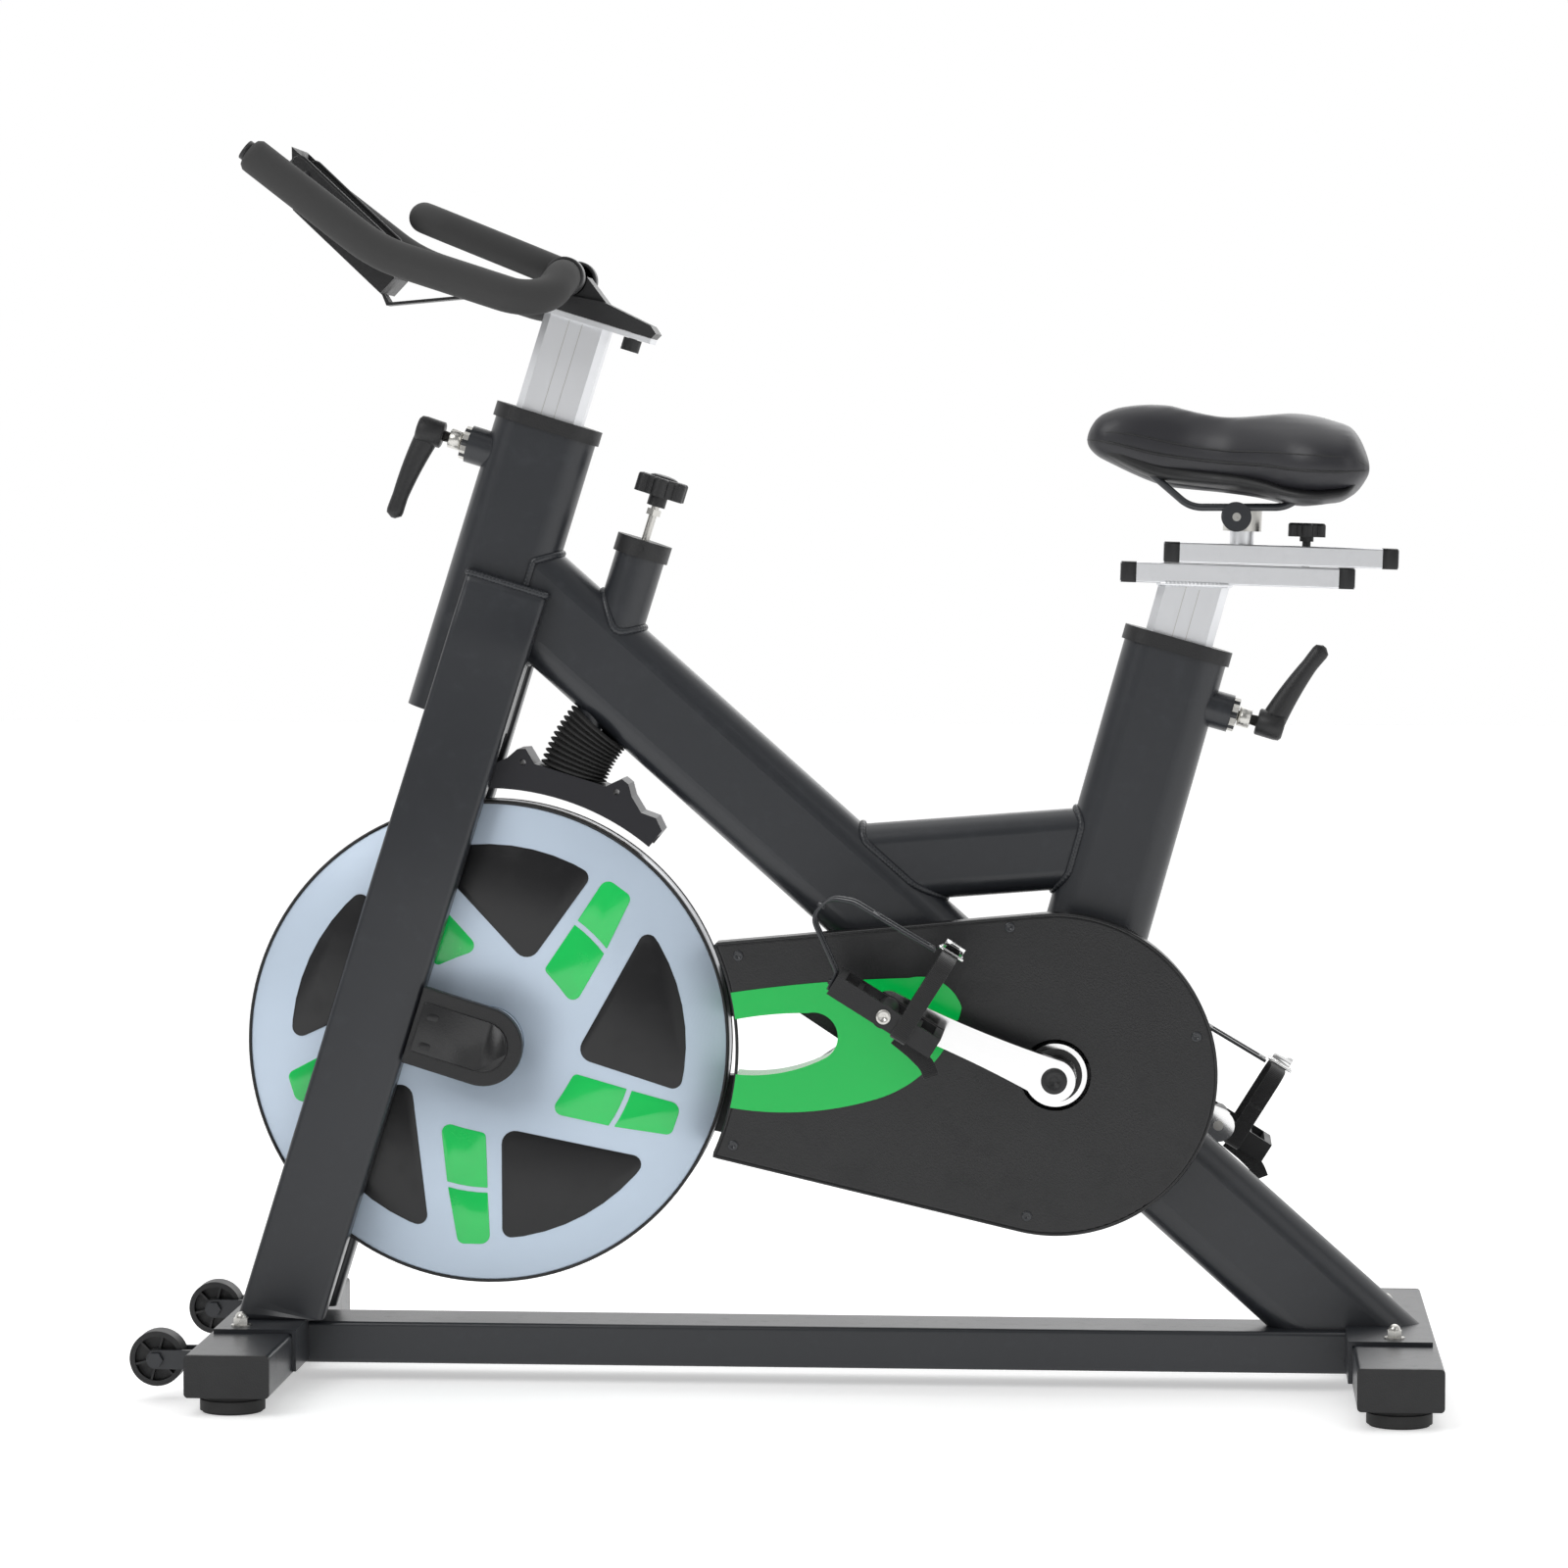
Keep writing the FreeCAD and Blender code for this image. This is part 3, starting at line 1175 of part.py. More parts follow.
def make_brake_shoe():
    """Arched channel over the rim, with two humps beside the platform that the rod presses on."""
    middle = 90 - size("head_lean")
    low, top = size("shoe_inner"), size("shoe_platform")
    half = size("shoe_angle")

    def at(radius, angle):
        return wheel_centre + direction(middle + angle) * radius

    def outside(sign):
        return [at(low + 20, sign * half), at(low + 26, sign * (half - 2.6)), at(low + 22, sign * 16.5),
                at(low + 30, sign * 13.2), at(low + 39, sign * 11.4), at(low + 40.5, sign * 9.8),
                at(top / math.cos(math.radians(7.6)), sign * 7.6)]

    steps = [at(low, half)] + outside(1) + outside(-1)[::-1] + [at(low, -half)]
    edges = [Part.LineSegment(a, b).toShape() for a, b in zip(steps, steps[1:])]
    edges.append(Part.Arc(steps[-1], at(low, 0), steps[0]).toShape())
    width, cheek = size("shoe_half_width"), size("shoe_cheek")
    body = slab(Part.Wire(edges), -width, width)
    room = Part.makeCylinder(size("pad_inner") + size("pad_depth"), 2 * (width - cheek),
                             at_side(wheel_centre, -(width - cheek)), ROUND)
    holes = [Part.makeCylinder(3, 80, at_side(at(low + 27, sign * 10), -40), ROUND) for sign in (-1, 1)]
    return node("brake_shoe", plain(body.cut(room).cut(Part.makeCompound(holes))))


def make_brake_pad():
    """Friction pad that lines the shoe's channel."""
    middle = 90 - size("head_lean")
    low = size("pad_inner")
    high = low + size("pad_depth")
    half = size("shoe_angle") - 1.5

    def at(radius, angle):
        return wheel_centre + direction(middle + angle) * radius

    edges = [Part.Arc(at(low, half), at(low, 0), at(low, -half)).toShape(),
             Part.LineSegment(at(low, -half), at(high, -half)).toShape(),
             Part.Arc(at(high, -half), at(high, 0), at(high, half)).toShape(),
             Part.LineSegment(at(high, half), at(low, half)).toShape()]
    width = size("shoe_half_width") - size("shoe_cheek")
    return node("brake_pad", plain(slab(Part.Wire(edges), -width, width)))


def make_bellows():
    """Soft gaiter round the rod, from the beam's sloping underside to the shoe's platform."""
    base = brake_point(size("shoe_platform") + 0.3)
    slope = math.degrees(math.atan2(beam_run.x * head_up.x + beam_run.z * head_up.z,
                                    beam_run.x * head_back.x + beam_run.z * head_back.z))
    under = beam_start - beam_up * (size("tube_depth") / 2 + 0.4)
    hinge = meet(base, head_back, under, beam_run)
    turned = []
    for radius in (size("bellows_radius"), size("bellows_radius") - 2.5):
        ring = Part.Face(Part.Wire([Part.Circle(base, head_up, radius).toShape()]))
        turned.append(ring.revolve(hinge, Vector(0, -1, 0), slope))
    return node("brake_bellows", plain(turned[0].cut(turned[1])))


# ---------------------------------------------------------------------------------------------------
# Clamp levers
# ---------------------------------------------------------------------------------------------------
def make_clamp_lever(label, which, arm_angle):
    """Threaded rod with a bright collar, and a moulded hub and handle on its end.

    arm_angle is the handle's direction in the side view.
    """
    centre, out = clamp_frame(which)
    start = size("post_depth") / 2 + 0.6
    base = size("tube_depth") / 2 + size("boss_depth") + 6
    rod = cylinder("lever_rod_radius", "%f" % (base + 24 - start), centre + out * start, out)
    screw = fuse(rod, cylinder("9", "12", centre + out * (base + 7.5), out))
    base = size("tube_depth") / 2 + size("boss_depth") + 6 + 19.5
    hub = Part.makeCylinder(13, 27, centre + out * base, out)
    reach = direction(arm_angle)
    across = Vector(-reach.z, 0, reach.x)
    root = centre + out * (base + 15)
    ring = [root + across * 12, root + reach * 45 + across * 8, root + reach * 88 + across * 6.5,
            root + reach * 92, root + reach * 88 - across * 6.5, root + reach * 45 - across * 7.5,
            root - across * 12]
    arm = slab(Part.makePolygon(ring + ring[:1]), -7, 7)
    shape = hub.fuse(arm)
    hole = Part.makeCylinder(size("lever_rod_radius"), 5, centre + out * base, out)
    return node(label, group(screw, plain(shape.cut(hole))))


# ---------------------------------------------------------------------------------------------------
# Handlebar post and handlebar
# ---------------------------------------------------------------------------------------------------
def post_tube(length, start, axis):
    """Hollow length of the aluminium post's section."""
    wall = size("post_wall")
    shape = post_bar(length).cut(post_bar(length + 2, -wall, -1))
    item = plain(shape)
    item.Placement = along(start, axis)
    return item


post_tip = head_top + head_up * (size("collar_height") + size("handlebar_post_show"))
deck_top = post_tip + head_up * size("top_plate_thickness")


def make_handlebar_post():
    """Chamfered aluminium post, and the plate on it, slotted for the handlebar's clamp screw."""
    low = head_top - head_up * size("post_insert")
    length = size("post_insert") + size("collar_height") + size("handlebar_post_show")
    corner = post_tip - head_back * 38
    corner = at_side(corner, -size("top_plate_width") / 2)
    turn = Rotation(head_back, ROUND, head_up, "ZXY")
    plate = block("top_plate_length", "top_plate_width", "top_plate_thickness", corner, turn)
    slot = block("35", "9", "20", at_side(post_tip + head_back * 36, -4.5) - head_up * 5, turn)
    return node("handlebar_post", fuse(post_tube(length, low, head_up), cut(plate, slot)))


def deck_point(back, rise=0, y=0):
    """Point above the top plate: behind the post's axis, above the plate and off the mid-plane."""
    return at_side(deck_top + head_back * back + head_up * rise, y)


def base_pad():
    """Long pad that slides on the top plate."""
    width = size("top_plate_width") / 2
    ring = [deck_point(-88, 0.3), deck_point(74, 0.3), deck_point(77, 6), deck_point(70, 12),
            deck_point(20, 20), deck_point(-80, 9)]
    return slab(Part.makePolygon(ring + ring[:1]), -width, width)


def make_handlebar_base():
    """Moulded foot of the handlebar: the pad on the plate and a neck up to the crossbar."""
    crossbar = Vector(size("crossbar_x"), 0, size("crossbar_z"))
    neck_ring = [deck_point(-56, 8), deck_point(36, 10), crossbar + Vector(15, 0, 4),
                 crossbar + Vector(-12, 0, -2)]
    neck = slab(Part.makePolygon(neck_ring + neck_ring[:1]), -24, 24)
    shape = base_pad().fuse(neck)
    grip = Part.makeCylinder(size("grip_radius") + 0.3, 120, at_side(crossbar, -60), ROUND)
    hole = Part.makeCylinder(4.06, 8, deck_point(size("deck_knob_back"), 0), head_up)
    return node("handlebar_base", plain(shape.cut(grip).cut(hole)))


def bar_route(side):
    """Points of one side of the handlebar, from the crossbar out and forward to the grip's end."""
    spread = side * size("grip_spread")
    bar_x, bar_z = size("crossbar_x"), size("crossbar_z")
    return [Vector(bar_x, side * 0.2, bar_z), Vector(bar_x, side * 72, bar_z),
            Vector(bar_x - 14, spread, bar_z - 30), Vector(bar_x - 168, spread, bar_z + 20),
            Vector(bar_x - 293, spread, bar_z + 117)]


def make_handlebar_side(label, side):
    """Dipped tube from the middle of the crossbar round to the end of one long grip."""
    path = rounded_path(bar_route(side), [45, 42, 150])
    return node(label, plain(pipe(path, size("grip_radius"))))


def make_centre_loop():
    """Raised loop grip in the middle, a U that runs forward and up from the crossbar."""
    spread = size("loop_spread")
    bar_x, bar_z = size("crossbar_x"), size("crossbar_z")
    rear = Vector(bar_x - 2, 0, bar_z + 2)
    front = Vector(bar_x - 140, 0, bar_z + 58)
    points = [at_side(rear, -spread), at_side(front, -spread), at_side(front, spread),
              at_side(rear, spread)]
    shape = pipe(rounded_path(points, [30, 30]), size("grip_radius") - 2)
    route = [Vector(bar_x, -110, bar_z), Vector(bar_x, 110, bar_z)]
    bar = Part.makeCylinder(size("grip_radius") + 0.05, 220, route[0], ROUND)
    return node("centre_loop", plain(shape.cut(bar)))


tray_run = direction(180 - size("tray_slope"))
tray_out = Vector(tray_run.z, 0, -tray_run.x)
tray_low = Vector(size("crossbar_x") - 178, 0, size("crossbar_z") - 15)


def tray_point(forward, rise, y=0):
    """Point on the tray's own axes: up its slope and off its floor."""
    return at_side(tray_low + tray_run * forward + tray_out * rise, y)


def tray():
    """Sloping moulded channel between the long grips, with a floor, two walls and a low lip."""
    half, wall = size("tray_width") / 2, size("tray_wall")
    length, depth = size("tray_length"), size("tray_depth")
    ring = [tray_point(0, 0), tray_point(length, 0), tray_point(length + 42, depth),
            tray_point(32, depth), tray_point(0, depth * 0.45)]
    shape = slab(Part.makePolygon(ring + ring[:1]), -half, half)
    hollow = [tray_point(wall, wall), tray_point(length - wall * 0.4, wall),
              tray_point(length + 42 - wall * 0.4, depth + 1), tray_point(wall, depth + 20)]
    shape = shape.cut(slab(Part.makePolygon(hollow + hollow[:1]), wall - half, half - wall))
    return plain(shape)


def tray_bracket():
    """Bent steel strip from the handlebar's foot forward to the underside of the tray."""
    start = deck_point(-64, 3)
    middle = tray_point(-8, -7)
    ring = [start, start + head_up * 3, middle + Vector(3, 0, 3), tray_point(2, 0),
            tray_point(84, 0), tray_point(84, -2.5), tray_point(2, -2.5), middle]
    strip = slab(Part.makePolygon(ring + ring[:1]), -14, 14)
    return plain(strip.cut(base_pad()))


def make_slide_knob():
    """Small knob under the top plate that locks the handlebar's slide."""
    start = deck_point(size("deck_knob_back"), 6)
    axis = head_up * -1
    stem = cylinder("4", "%f" % (size("top_plate_thickness") + 6.5), start, axis)
    grip = cylinder("9", "12", start + axis * (size("top_plate_thickness") + 6.5), axis)
    return node("handlebar_knob", fuse(stem, grip))


# ---------------------------------------------------------------------------------------------------
# Seat post, slide and saddle
# ---------------------------------------------------------------------------------------------------
slide_run = direction(-size("slide_slope"))
slide_up = direction(90 - size("slide_slope"))
lower_front = Vector(size("lower_bar_front_x"), 0, 0)
seat_tip = seat_top + seat_up * (size("collar_height") + size("seat_post_show"))
lower_bottom = meet(Vector(lower_front.x, 0, 0), Vector(0, 0, 1), seat_tip - seat_up * 8, slide_run)
upper_bottom = lower_bottom + slide_up * (size("slide_bar_height") + size("slide_gap"))
upper_bottom = meet(Vector(size("upper_bar_front_x"), 0, 0), Vector(0, 0, 1), upper_bottom, slide_run)


def slide_bar(start, length):
    """Aluminium box tube of the saddle's fore-and-aft slide, and its two black end plugs."""
    centre = start + slide_up * (size("slide_bar_height") / 2)
    tube = box_bar("slide_bar", "slide_bar_width", "slide_bar_height", "%s - 2 * bar_cap" % length,
                   along(centre + slide_run * size("bar_cap"), slide_run),
                   corner="slide_bar_wall - 1", wall="slide_bar_wall")
    caps = []
    for shift in (0, size(length) - size("bar_cap")):
        caps.append(box_bar("bar_cap", "slide_bar_width", "slide_bar_height", "bar_cap",
                            along(centre + slide_run * shift, slide_run),
                            corner="slide_bar_wall - 1"))
    return tube, caps


def make_seat_post():
    """Chamfered aluminium post in the seat tube, cut to the slope of the slide."""
    low = seat_top - seat_up * size("post_insert")
    length = size("post_insert") + size("collar_height") + size("seat_post_show") + 30
    tube = post_tube(length, low, seat_up)
    turn = Rotation(slide_run, ROUND, slide_up, "ZXY")
    above = block("400", "200", "100", at_side(lower_bottom, -100) - slide_run * 60, turn)
    bar, caps = slide_bar(lower_bottom, "lower_bar_length")
    return node("seat_post", group(fuse(cut(tube, above), bar), *caps))


def carriage_point(x, rise, y=0):
    """Point above the upper slide bar's top, by its X position."""
    along_bar = (x - upper_bottom.x) / slide_run.x
    return at_side(upper_bottom + slide_run * along_bar + slide_up * (size("slide_bar_height") + rise), y)


def make_upper_bar():
    """Upper slide bar with the saddle's round pillar, drilled for the locking knob."""
    tube, caps = slide_bar(upper_bottom, "upper_bar_length")
    pillar = cylinder("pillar_radius", "pillar_height", carriage_point(size("pillar_x"), 0), slide_up)
    hole = cylinder("4.06", "60", carriage_point(size("knob_x"), -50), slide_up)
    return node("saddle_carriage", group(cut(fuse(tube, pillar), hole), *caps))


clamp_centre = carriage_point(size("pillar_x") - 6, 26)


def make_saddle_clamp():
    """Clamp round the pillar, with the cross bolt that the saddle's shoes tilt on."""
    pillar = cylinder("pillar_radius + 0.06", "60", carriage_point(size("pillar_x"), -5), slide_up)
    ring = cylinder("pillar_radius + 7", "20", carriage_point(size("pillar_x"), 12.5), slide_up)
    bolt = cylinder("4", "2 * rail_reach + 10", at_side(clamp_centre, -size("rail_reach") - 5))
    return node("saddle_clamp", cut(fuse(ring, bolt), pillar))


def make_saddle_knob():
    """Star knob on the upper bar whose screw locks the slide."""
    knob = lobed_knob(19.5, 13, carriage_point(size("knob_x"), 9), slide_up, None, 4.5)
    stem = cylinder("4", "slide_bar_height + 6.5", carriage_point(size("knob_x"), 6), slide_up * -1)
    return node("saddle_knob", fuse(knob, stem))


SADDLE_SECTIONS = [(279, 899, 913, 14), (300, 887, 931, 30), (345, 868, 939, 36), (409, 860, 925, 47),
                   (455, 852, 926, 80), (500, 845, 925, 101), (535, 850, 916, 96), (551, 866, 892, 74)]


def make_saddle():
    """Padded saddle, a closed form lofted from its narrow nose to its broad rear."""
    wires = []
    for x, low, high, half in SADDLE_SECTIONS:
        centre = Vector(x, 0, (low + high) / 2)
        curve = Part.Ellipse(centre + Vector(0, half, 0), centre + Vector(0, 0, (high - low) / 2),
                             centre)
        wires.append(Part.Wire([curve.toShape()]))
    return node("saddle", plain(Part.makeLoft(wires, True, False)))


def make_saddle_rails():
    """Two steel wires under the saddle, each welded through a shoe that turns on the cross bolt."""
    rails = []
    for side in (-1, 1):
        y = side * size("rail_reach")
        level = clamp_centre.z + size("rail_rise")
        route = [Vector(326, side * 14, 888), Vector(380, y, level), Vector(470, y, level),
                 Vector(520, side * 40, 878)]
        wire = plain(pipe(rounded_path(route, [30, 30]), size("saddle_rail_radius")))
        shoe = cylinder("rail_rise + 5", "9", at_side(clamp_centre, y - 4.5))
        bore = cylinder("4.06", "20", at_side(clamp_centre, y - 10))
        rails.append(cut(fuse(wire, shoe), bore, pieces["saddle"]))
    return node("saddle_frame", group(*rails))


# ---------------------------------------------------------------------------------------------------
# Build
# ---------------------------------------------------------------------------------------------------
def build():
    """Make every sub-part of the bike."""
    make_stabilisers()
    make_end_caps()
    make_feet()
    make_base_rail()
    node("saddle_plates", group(saddle_plate(front_x, 1), saddle_plate(rear_x, -1)))
    make_acorn_nuts()
    make_wheel_brackets()
    make_head_tube()
    make_main_beam()
    make_seat_tube()
    make_link_tube()
    make_bracket_shell()
    make_fork_legs()
    pair("axle_dropouts", dropout)
    pair("axle_covers", axle_cover)
    node("clamp_bosses", group(clamp_boss("head"), clamp_boss("seat")))
    node("tube_collars", group(collar("head", head_top, head_up),
                               collar("seat", seat_top, seat_up)))
    make_flywheel()
    make_flywheel_bearings()
    make_flywheel_axle()
    make_sprocket()
    make_chain()
    make_chain_case()
    make_bearing_cups()
    make_spindle()
    make_chainring()
    pair("pedal_spindles", pedal_spindle)
    make_side_cover()
    make_cover_insert()
    for name, side in (("left", -1), ("right", 1)):
        make_transport_wheel(name + "_transport_wheel", side)
        make_crank_arm(name + "_crank_arm", side)
        make_pedal(name + "_pedal", side)
        node(name + "_toe_cage", group(toe_clip(side), toe_strap(side), strap_buckle(side)))
        make_handlebar_side(name + "_grip_bar", side)
    make_brake_tube()
    make_brake_cap()
    make_brake_rod()
    make_brake_spring()
    make_brake_knob()
    make_brake_shoe()
    make_brake_pad()
    make_bellows()
    make_clamp_lever("head_clamp_lever", "head", 237)
    make_clamp_lever("seat_clamp_lever", "seat", 58)
    make_handlebar_post()
    make_handlebar_base()
    make_centre_loop()
    node("handlebar_tray", group(tray(), tray_bracket()))
    make_slide_knob()
    make_seat_post()
    make_upper_bar()
    make_saddle_clamp()
    make_saddle_knob()
    make_saddle()
    make_saddle_rails()


build()
doc.recompute()
failed = [item.Name for item in doc.Objects if "Invalid" in item.State or "Error" in item.State]
faulty = [label for label, item in pieces.items() if item.Shape.isNull() or not item.Shape.isValid()]
empty = [label for label, item in pieces.items() if not item.Shape.Solids]
if failed or faulty or empty:
    raise RuntimeError("failed %s, faulty %s, empty %s" % (failed, faulty, empty))
os.makedirs("parts", exist_ok=True)
for label, item in pieces.items():
    item.Shape.exportStep("parts/%s.step" % label)
print("%d nodes" % len(pieces))
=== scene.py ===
import json
import math

import bmesh
import bpy
import numpy as np
from bpy.props import FloatProperty, FloatVectorProperty, IntProperty, PointerProperty
from bpy.types import Operator, Panel, PropertyGroup
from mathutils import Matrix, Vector
from mathutils.bvhtree import BVHTree


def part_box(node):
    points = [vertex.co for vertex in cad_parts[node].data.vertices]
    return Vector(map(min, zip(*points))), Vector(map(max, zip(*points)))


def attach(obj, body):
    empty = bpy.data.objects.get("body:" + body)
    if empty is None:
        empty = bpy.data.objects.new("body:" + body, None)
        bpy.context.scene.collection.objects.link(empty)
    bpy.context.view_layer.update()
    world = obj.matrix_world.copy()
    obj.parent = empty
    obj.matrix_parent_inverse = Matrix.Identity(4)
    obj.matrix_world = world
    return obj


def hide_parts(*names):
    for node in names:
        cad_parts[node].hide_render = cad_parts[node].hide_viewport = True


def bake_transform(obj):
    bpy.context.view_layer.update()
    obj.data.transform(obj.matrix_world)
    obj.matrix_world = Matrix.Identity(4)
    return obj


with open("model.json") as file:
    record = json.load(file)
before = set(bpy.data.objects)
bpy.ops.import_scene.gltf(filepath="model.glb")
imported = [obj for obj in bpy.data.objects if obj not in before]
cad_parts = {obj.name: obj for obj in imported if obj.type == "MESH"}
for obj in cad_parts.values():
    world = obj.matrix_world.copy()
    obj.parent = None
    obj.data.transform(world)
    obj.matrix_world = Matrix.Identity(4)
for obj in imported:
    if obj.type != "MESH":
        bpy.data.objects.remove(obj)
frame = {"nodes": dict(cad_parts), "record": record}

bl_info = {
    "name": "Indoor Spin Bike",
    "version": (1, 0, 0),
    "blender": (4, 5, 0),
    "location": "View3D > Sidebar > Spin Bike",
    "description": "Saddle, grips, flywheel trim, bellows, straps and finishes of an indoor spin bike",
    "category": "Object",
}

NODES = frame["nodes"]
JOINTS = {joint["name"]: joint for joint in frame["record"]["behaviour"]["joints"]}
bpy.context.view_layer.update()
ACROSS = np.array([0.0, 1.0, 0.0])
SIDES = ((-1, "left"), (1, "right"))


def place_of(joint):
    """A hinge's point as an array, in metres."""
    return np.array(JOINTS[joint]["pos_m"], float)


def axis_of(joint):
    """A joint's unit axis."""
    axis = np.array(JOINTS[joint]["axis"], float)
    return axis / np.linalg.norm(axis)


WHEEL = place_of("flywheel_spin")
CRANK = place_of("crank_spin")
HEAD_UP = axis_of("handlebar_height")
HEAD_BACK = axis_of("handlebar_reach")
SEAT_UP = axis_of("seat_height")
SEAT_BACK = np.array([SEAT_UP[2], 0.0, -SEAT_UP[0]])
SLIDE = axis_of("saddle_reach")


# ---------------------------------------------------------------------------------------------------
# Sizes and colours
# ---------------------------------------------------------------------------------------------------
def colour(name, text, default):
    """A linear colour property."""
    return FloatVectorProperty(name=name, description=text, default=default, subtype="COLOR",
                               size=3, min=0.0, max=1.0)


def length(name, text, default):
    """A length property in metres."""
    return FloatProperty(name=name, description=text, default=default, unit="LENGTH",
                         subtype="DISTANCE", min=0.0, precision=4)


class BikeColours(PropertyGroup):
    """Colours of the bike's finishes."""

    frame_paint: colour("Frame", "Satin paint of the frame tubes", (0.0165, 0.0185, 0.0225))
    moulding: colour("Mouldings", "Black moulded plastic", (0.0090, 0.0092, 0.0100))
    rubber: colour("Rubber", "Feet, wheels and bellows", (0.0085, 0.0085, 0.0088))
    foam: colour("Grips", "Foam of the grips", (0.0105, 0.0105, 0.0112))
    wheel_face: colour("Flywheel", "Paint of the flywheel's faces", (0.550, 0.650, 0.770))
    accent: colour("Accent", "Green of the spokes and the cover's insert", (0.0, 0.600, 0.100))
    vinyl: colour("Saddle", "Vinyl of the saddle", (0.0105, 0.0105, 0.0120))
    floor: colour("Floor", "Studio floor", (0.80, 0.80, 0.80))


class BikeSizes(PropertyGroup):
    """Sizes of the pieces that are made here."""

    grip_radius: length("Grip radius", "Outer radius of the foam grips", 0.0168)
    weld_radius: length("Weld radius", "Radius of the weld beads", 0.0032)
    weld_ripple: length("Weld ripple", "Height of the ripples along a weld bead", 0.0006)
    window_outer: length("Window reach", "Outer radius of the flywheel's black windows", 0.191)
    window_inner: length("Window root", "Inner radius of the flywheel's black windows", 0.088)
    trim_depth: length("Trim depth", "How far the flywheel's trim stands proud", 0.0008)
    folds: IntProperty(name="Folds", description="Folds of the bellows", default=11, min=4, max=24)
    saddle_panel: length("Saddle puff", "How far the saddle's padding swells", 0.006)


# ---------------------------------------------------------------------------------------------------
# Shader expressions
# ---------------------------------------------------------------------------------------------------
class Sock:
    """One shader socket that takes part in Python arithmetic on single numbers."""

    def __init__(self, finish, socket):
        self.finish = finish
        self.socket = socket

    def maths(self, operation, *values):
        return self.finish.node("ShaderNodeMath", {"operation": operation}, *values)

    def __add__(self, other):
        return self.maths("ADD", self, other)

    def __radd__(self, other):
        return self.maths("ADD", other, self)

    def __sub__(self, other):
        return self.maths("SUBTRACT", self, other)

    def __rsub__(self, other):
        return self.maths("SUBTRACT", other, self)

    def __mul__(self, other):
        return self.maths("MULTIPLY", self, other)

    def __rmul__(self, other):
        return self.maths("MULTIPLY", other, self)

    def between(self, low, high):
        """0 below low, 1 above high and a smooth step from one to the other."""
        return self.finish.node("ShaderNodeMapRange", {"interpolation_type": "SMOOTHSTEP"},
                                self, low, high, 0.0, 1.0)


class Finish:
    """One procedural material: a Principled shader and the nodes that feed it."""

    def __init__(self, name, **constants):
        self.material = bpy.data.materials.new(name)
        self.material.use_nodes = True
        self.tree = self.material.node_tree
        self.tree.nodes.clear()
        self.shader = self.tree.nodes.new("ShaderNodeBsdfPrincipled")
        output = self.tree.nodes.new("ShaderNodeOutputMaterial")
        self.tree.links.new(self.shader.outputs[0], output.inputs[0])
        self.place = Sock(self, self.tree.nodes.new("ShaderNodeTexCoord").outputs["Object"])
        for label, value in constants.items():
            self.shader.inputs[label.replace("_", " ")].default_value = value

    def feed(self, socket, value):
        """Link a Sock to an input, or set a plain number, colour or vector on it."""
        if isinstance(value, Sock):
            self.tree.links.new(value.socket, socket)
        elif value is not None:
            socket.default_value = value

    def node(self, kind, settings=None, *values, out=0, **named):
        """Add a node: settings first, then its inputs by order or by name; returns one output."""
        made = self.tree.nodes.new(kind)
        for label, value in (settings or {}).items():
            setattr(made, label, value)
        for socket, value in zip(made.inputs, values):
            self.feed(socket, value)
        for label, value in named.items():
            self.feed(made.inputs[label.replace("_", " ")], value)
        return Sock(self, made.outputs[out])

    def noise(self, scale, detail=3.0, rough=0.5, place=None):
        """Cloudy noise from 0 to 1."""
        return self.node("ShaderNodeTexNoise", None, Vector=place or self.place, Scale=scale,
                         Detail=detail, Roughness=rough)

    def stretched(self, scale, turn=(0.0, 0.0, 0.0)):
        """The object's own coordinates, turned and stretched, for grain that has a direction."""
        return self.node("ShaderNodeMapping", None, Vector=self.place, Rotation=turn, Scale=scale)

    def mix(self, factor, first, second):
        """Blend of two colours."""
        made = self.tree.nodes.new("ShaderNodeMix")
        made.data_type = "RGBA"
        colours = [socket for socket in made.inputs if socket.type == "RGBA"]
        self.feed(made.inputs[0], factor)
        for socket, value in zip(colours, (first, second)):
            self.feed(socket, value)
        return Sock(self, [socket for socket in made.outputs if socket.type == "RGBA"][0])

    def bump(self, height, depth, strength=1.0, under=None):
        """Bumped normal from a height between 0 and 1; depth is in metres."""
        return self.node("ShaderNodeBump", None, Height=height, Distance=depth, Strength=strength,
                         Normal=under)

    def set(self, **values):
        """Feed the shader's own inputs by name."""
        for label, value in values.items():
            self.feed(self.shader.inputs[label.replace("_", " ")], value)
        return self


def shade(rgb, factor):
    """A colour with every channel times a factor, with full alpha."""
    return tuple(min(1.0, channel * factor) for channel in rgb) + (1.0,)


def coated(name, rgb, rough, peel, speck=0.35, coat=0.0):
    """Paint or powder coat: fine peel, faint tone changes and dusty patches."""
    made = Finish(name, Coat_Weight=coat, Coat_Roughness=0.2)
    cloud = made.noise(9.0, 5.0)
    dust = made.noise(55.0, 6.0, 0.65).between(0.52, 0.80)
    tone = made.mix(cloud, shade(rgb, 0.86), shade(rgb, 1.16))
    base = made.mix(dust * speck, tone, shade(rgb, 1.9))
    pebble = made.noise(1500.0, 2.0)
    wave = made.noise(190.0, 2.0)
    normal = made.bump(pebble * 0.65 + wave * 0.35, peel)
    return made.set(Base_Color=base, Roughness=rough + cloud * 0.10 + dust * 0.08, Normal=normal)


def paper(name, rgb):
    """Even studio paper, bright enough to meet the backdrop without a line."""
    made = Finish(name, Emission_Strength=0.55)
    cloud = made.noise(2.0, 3.0)
    base = made.mix(cloud, shade(rgb, 0.995), shade(rgb, 1.005))
    return made.set(Base_Color=base, Roughness=0.9 + cloud * 0.05, Emission_Color=base)


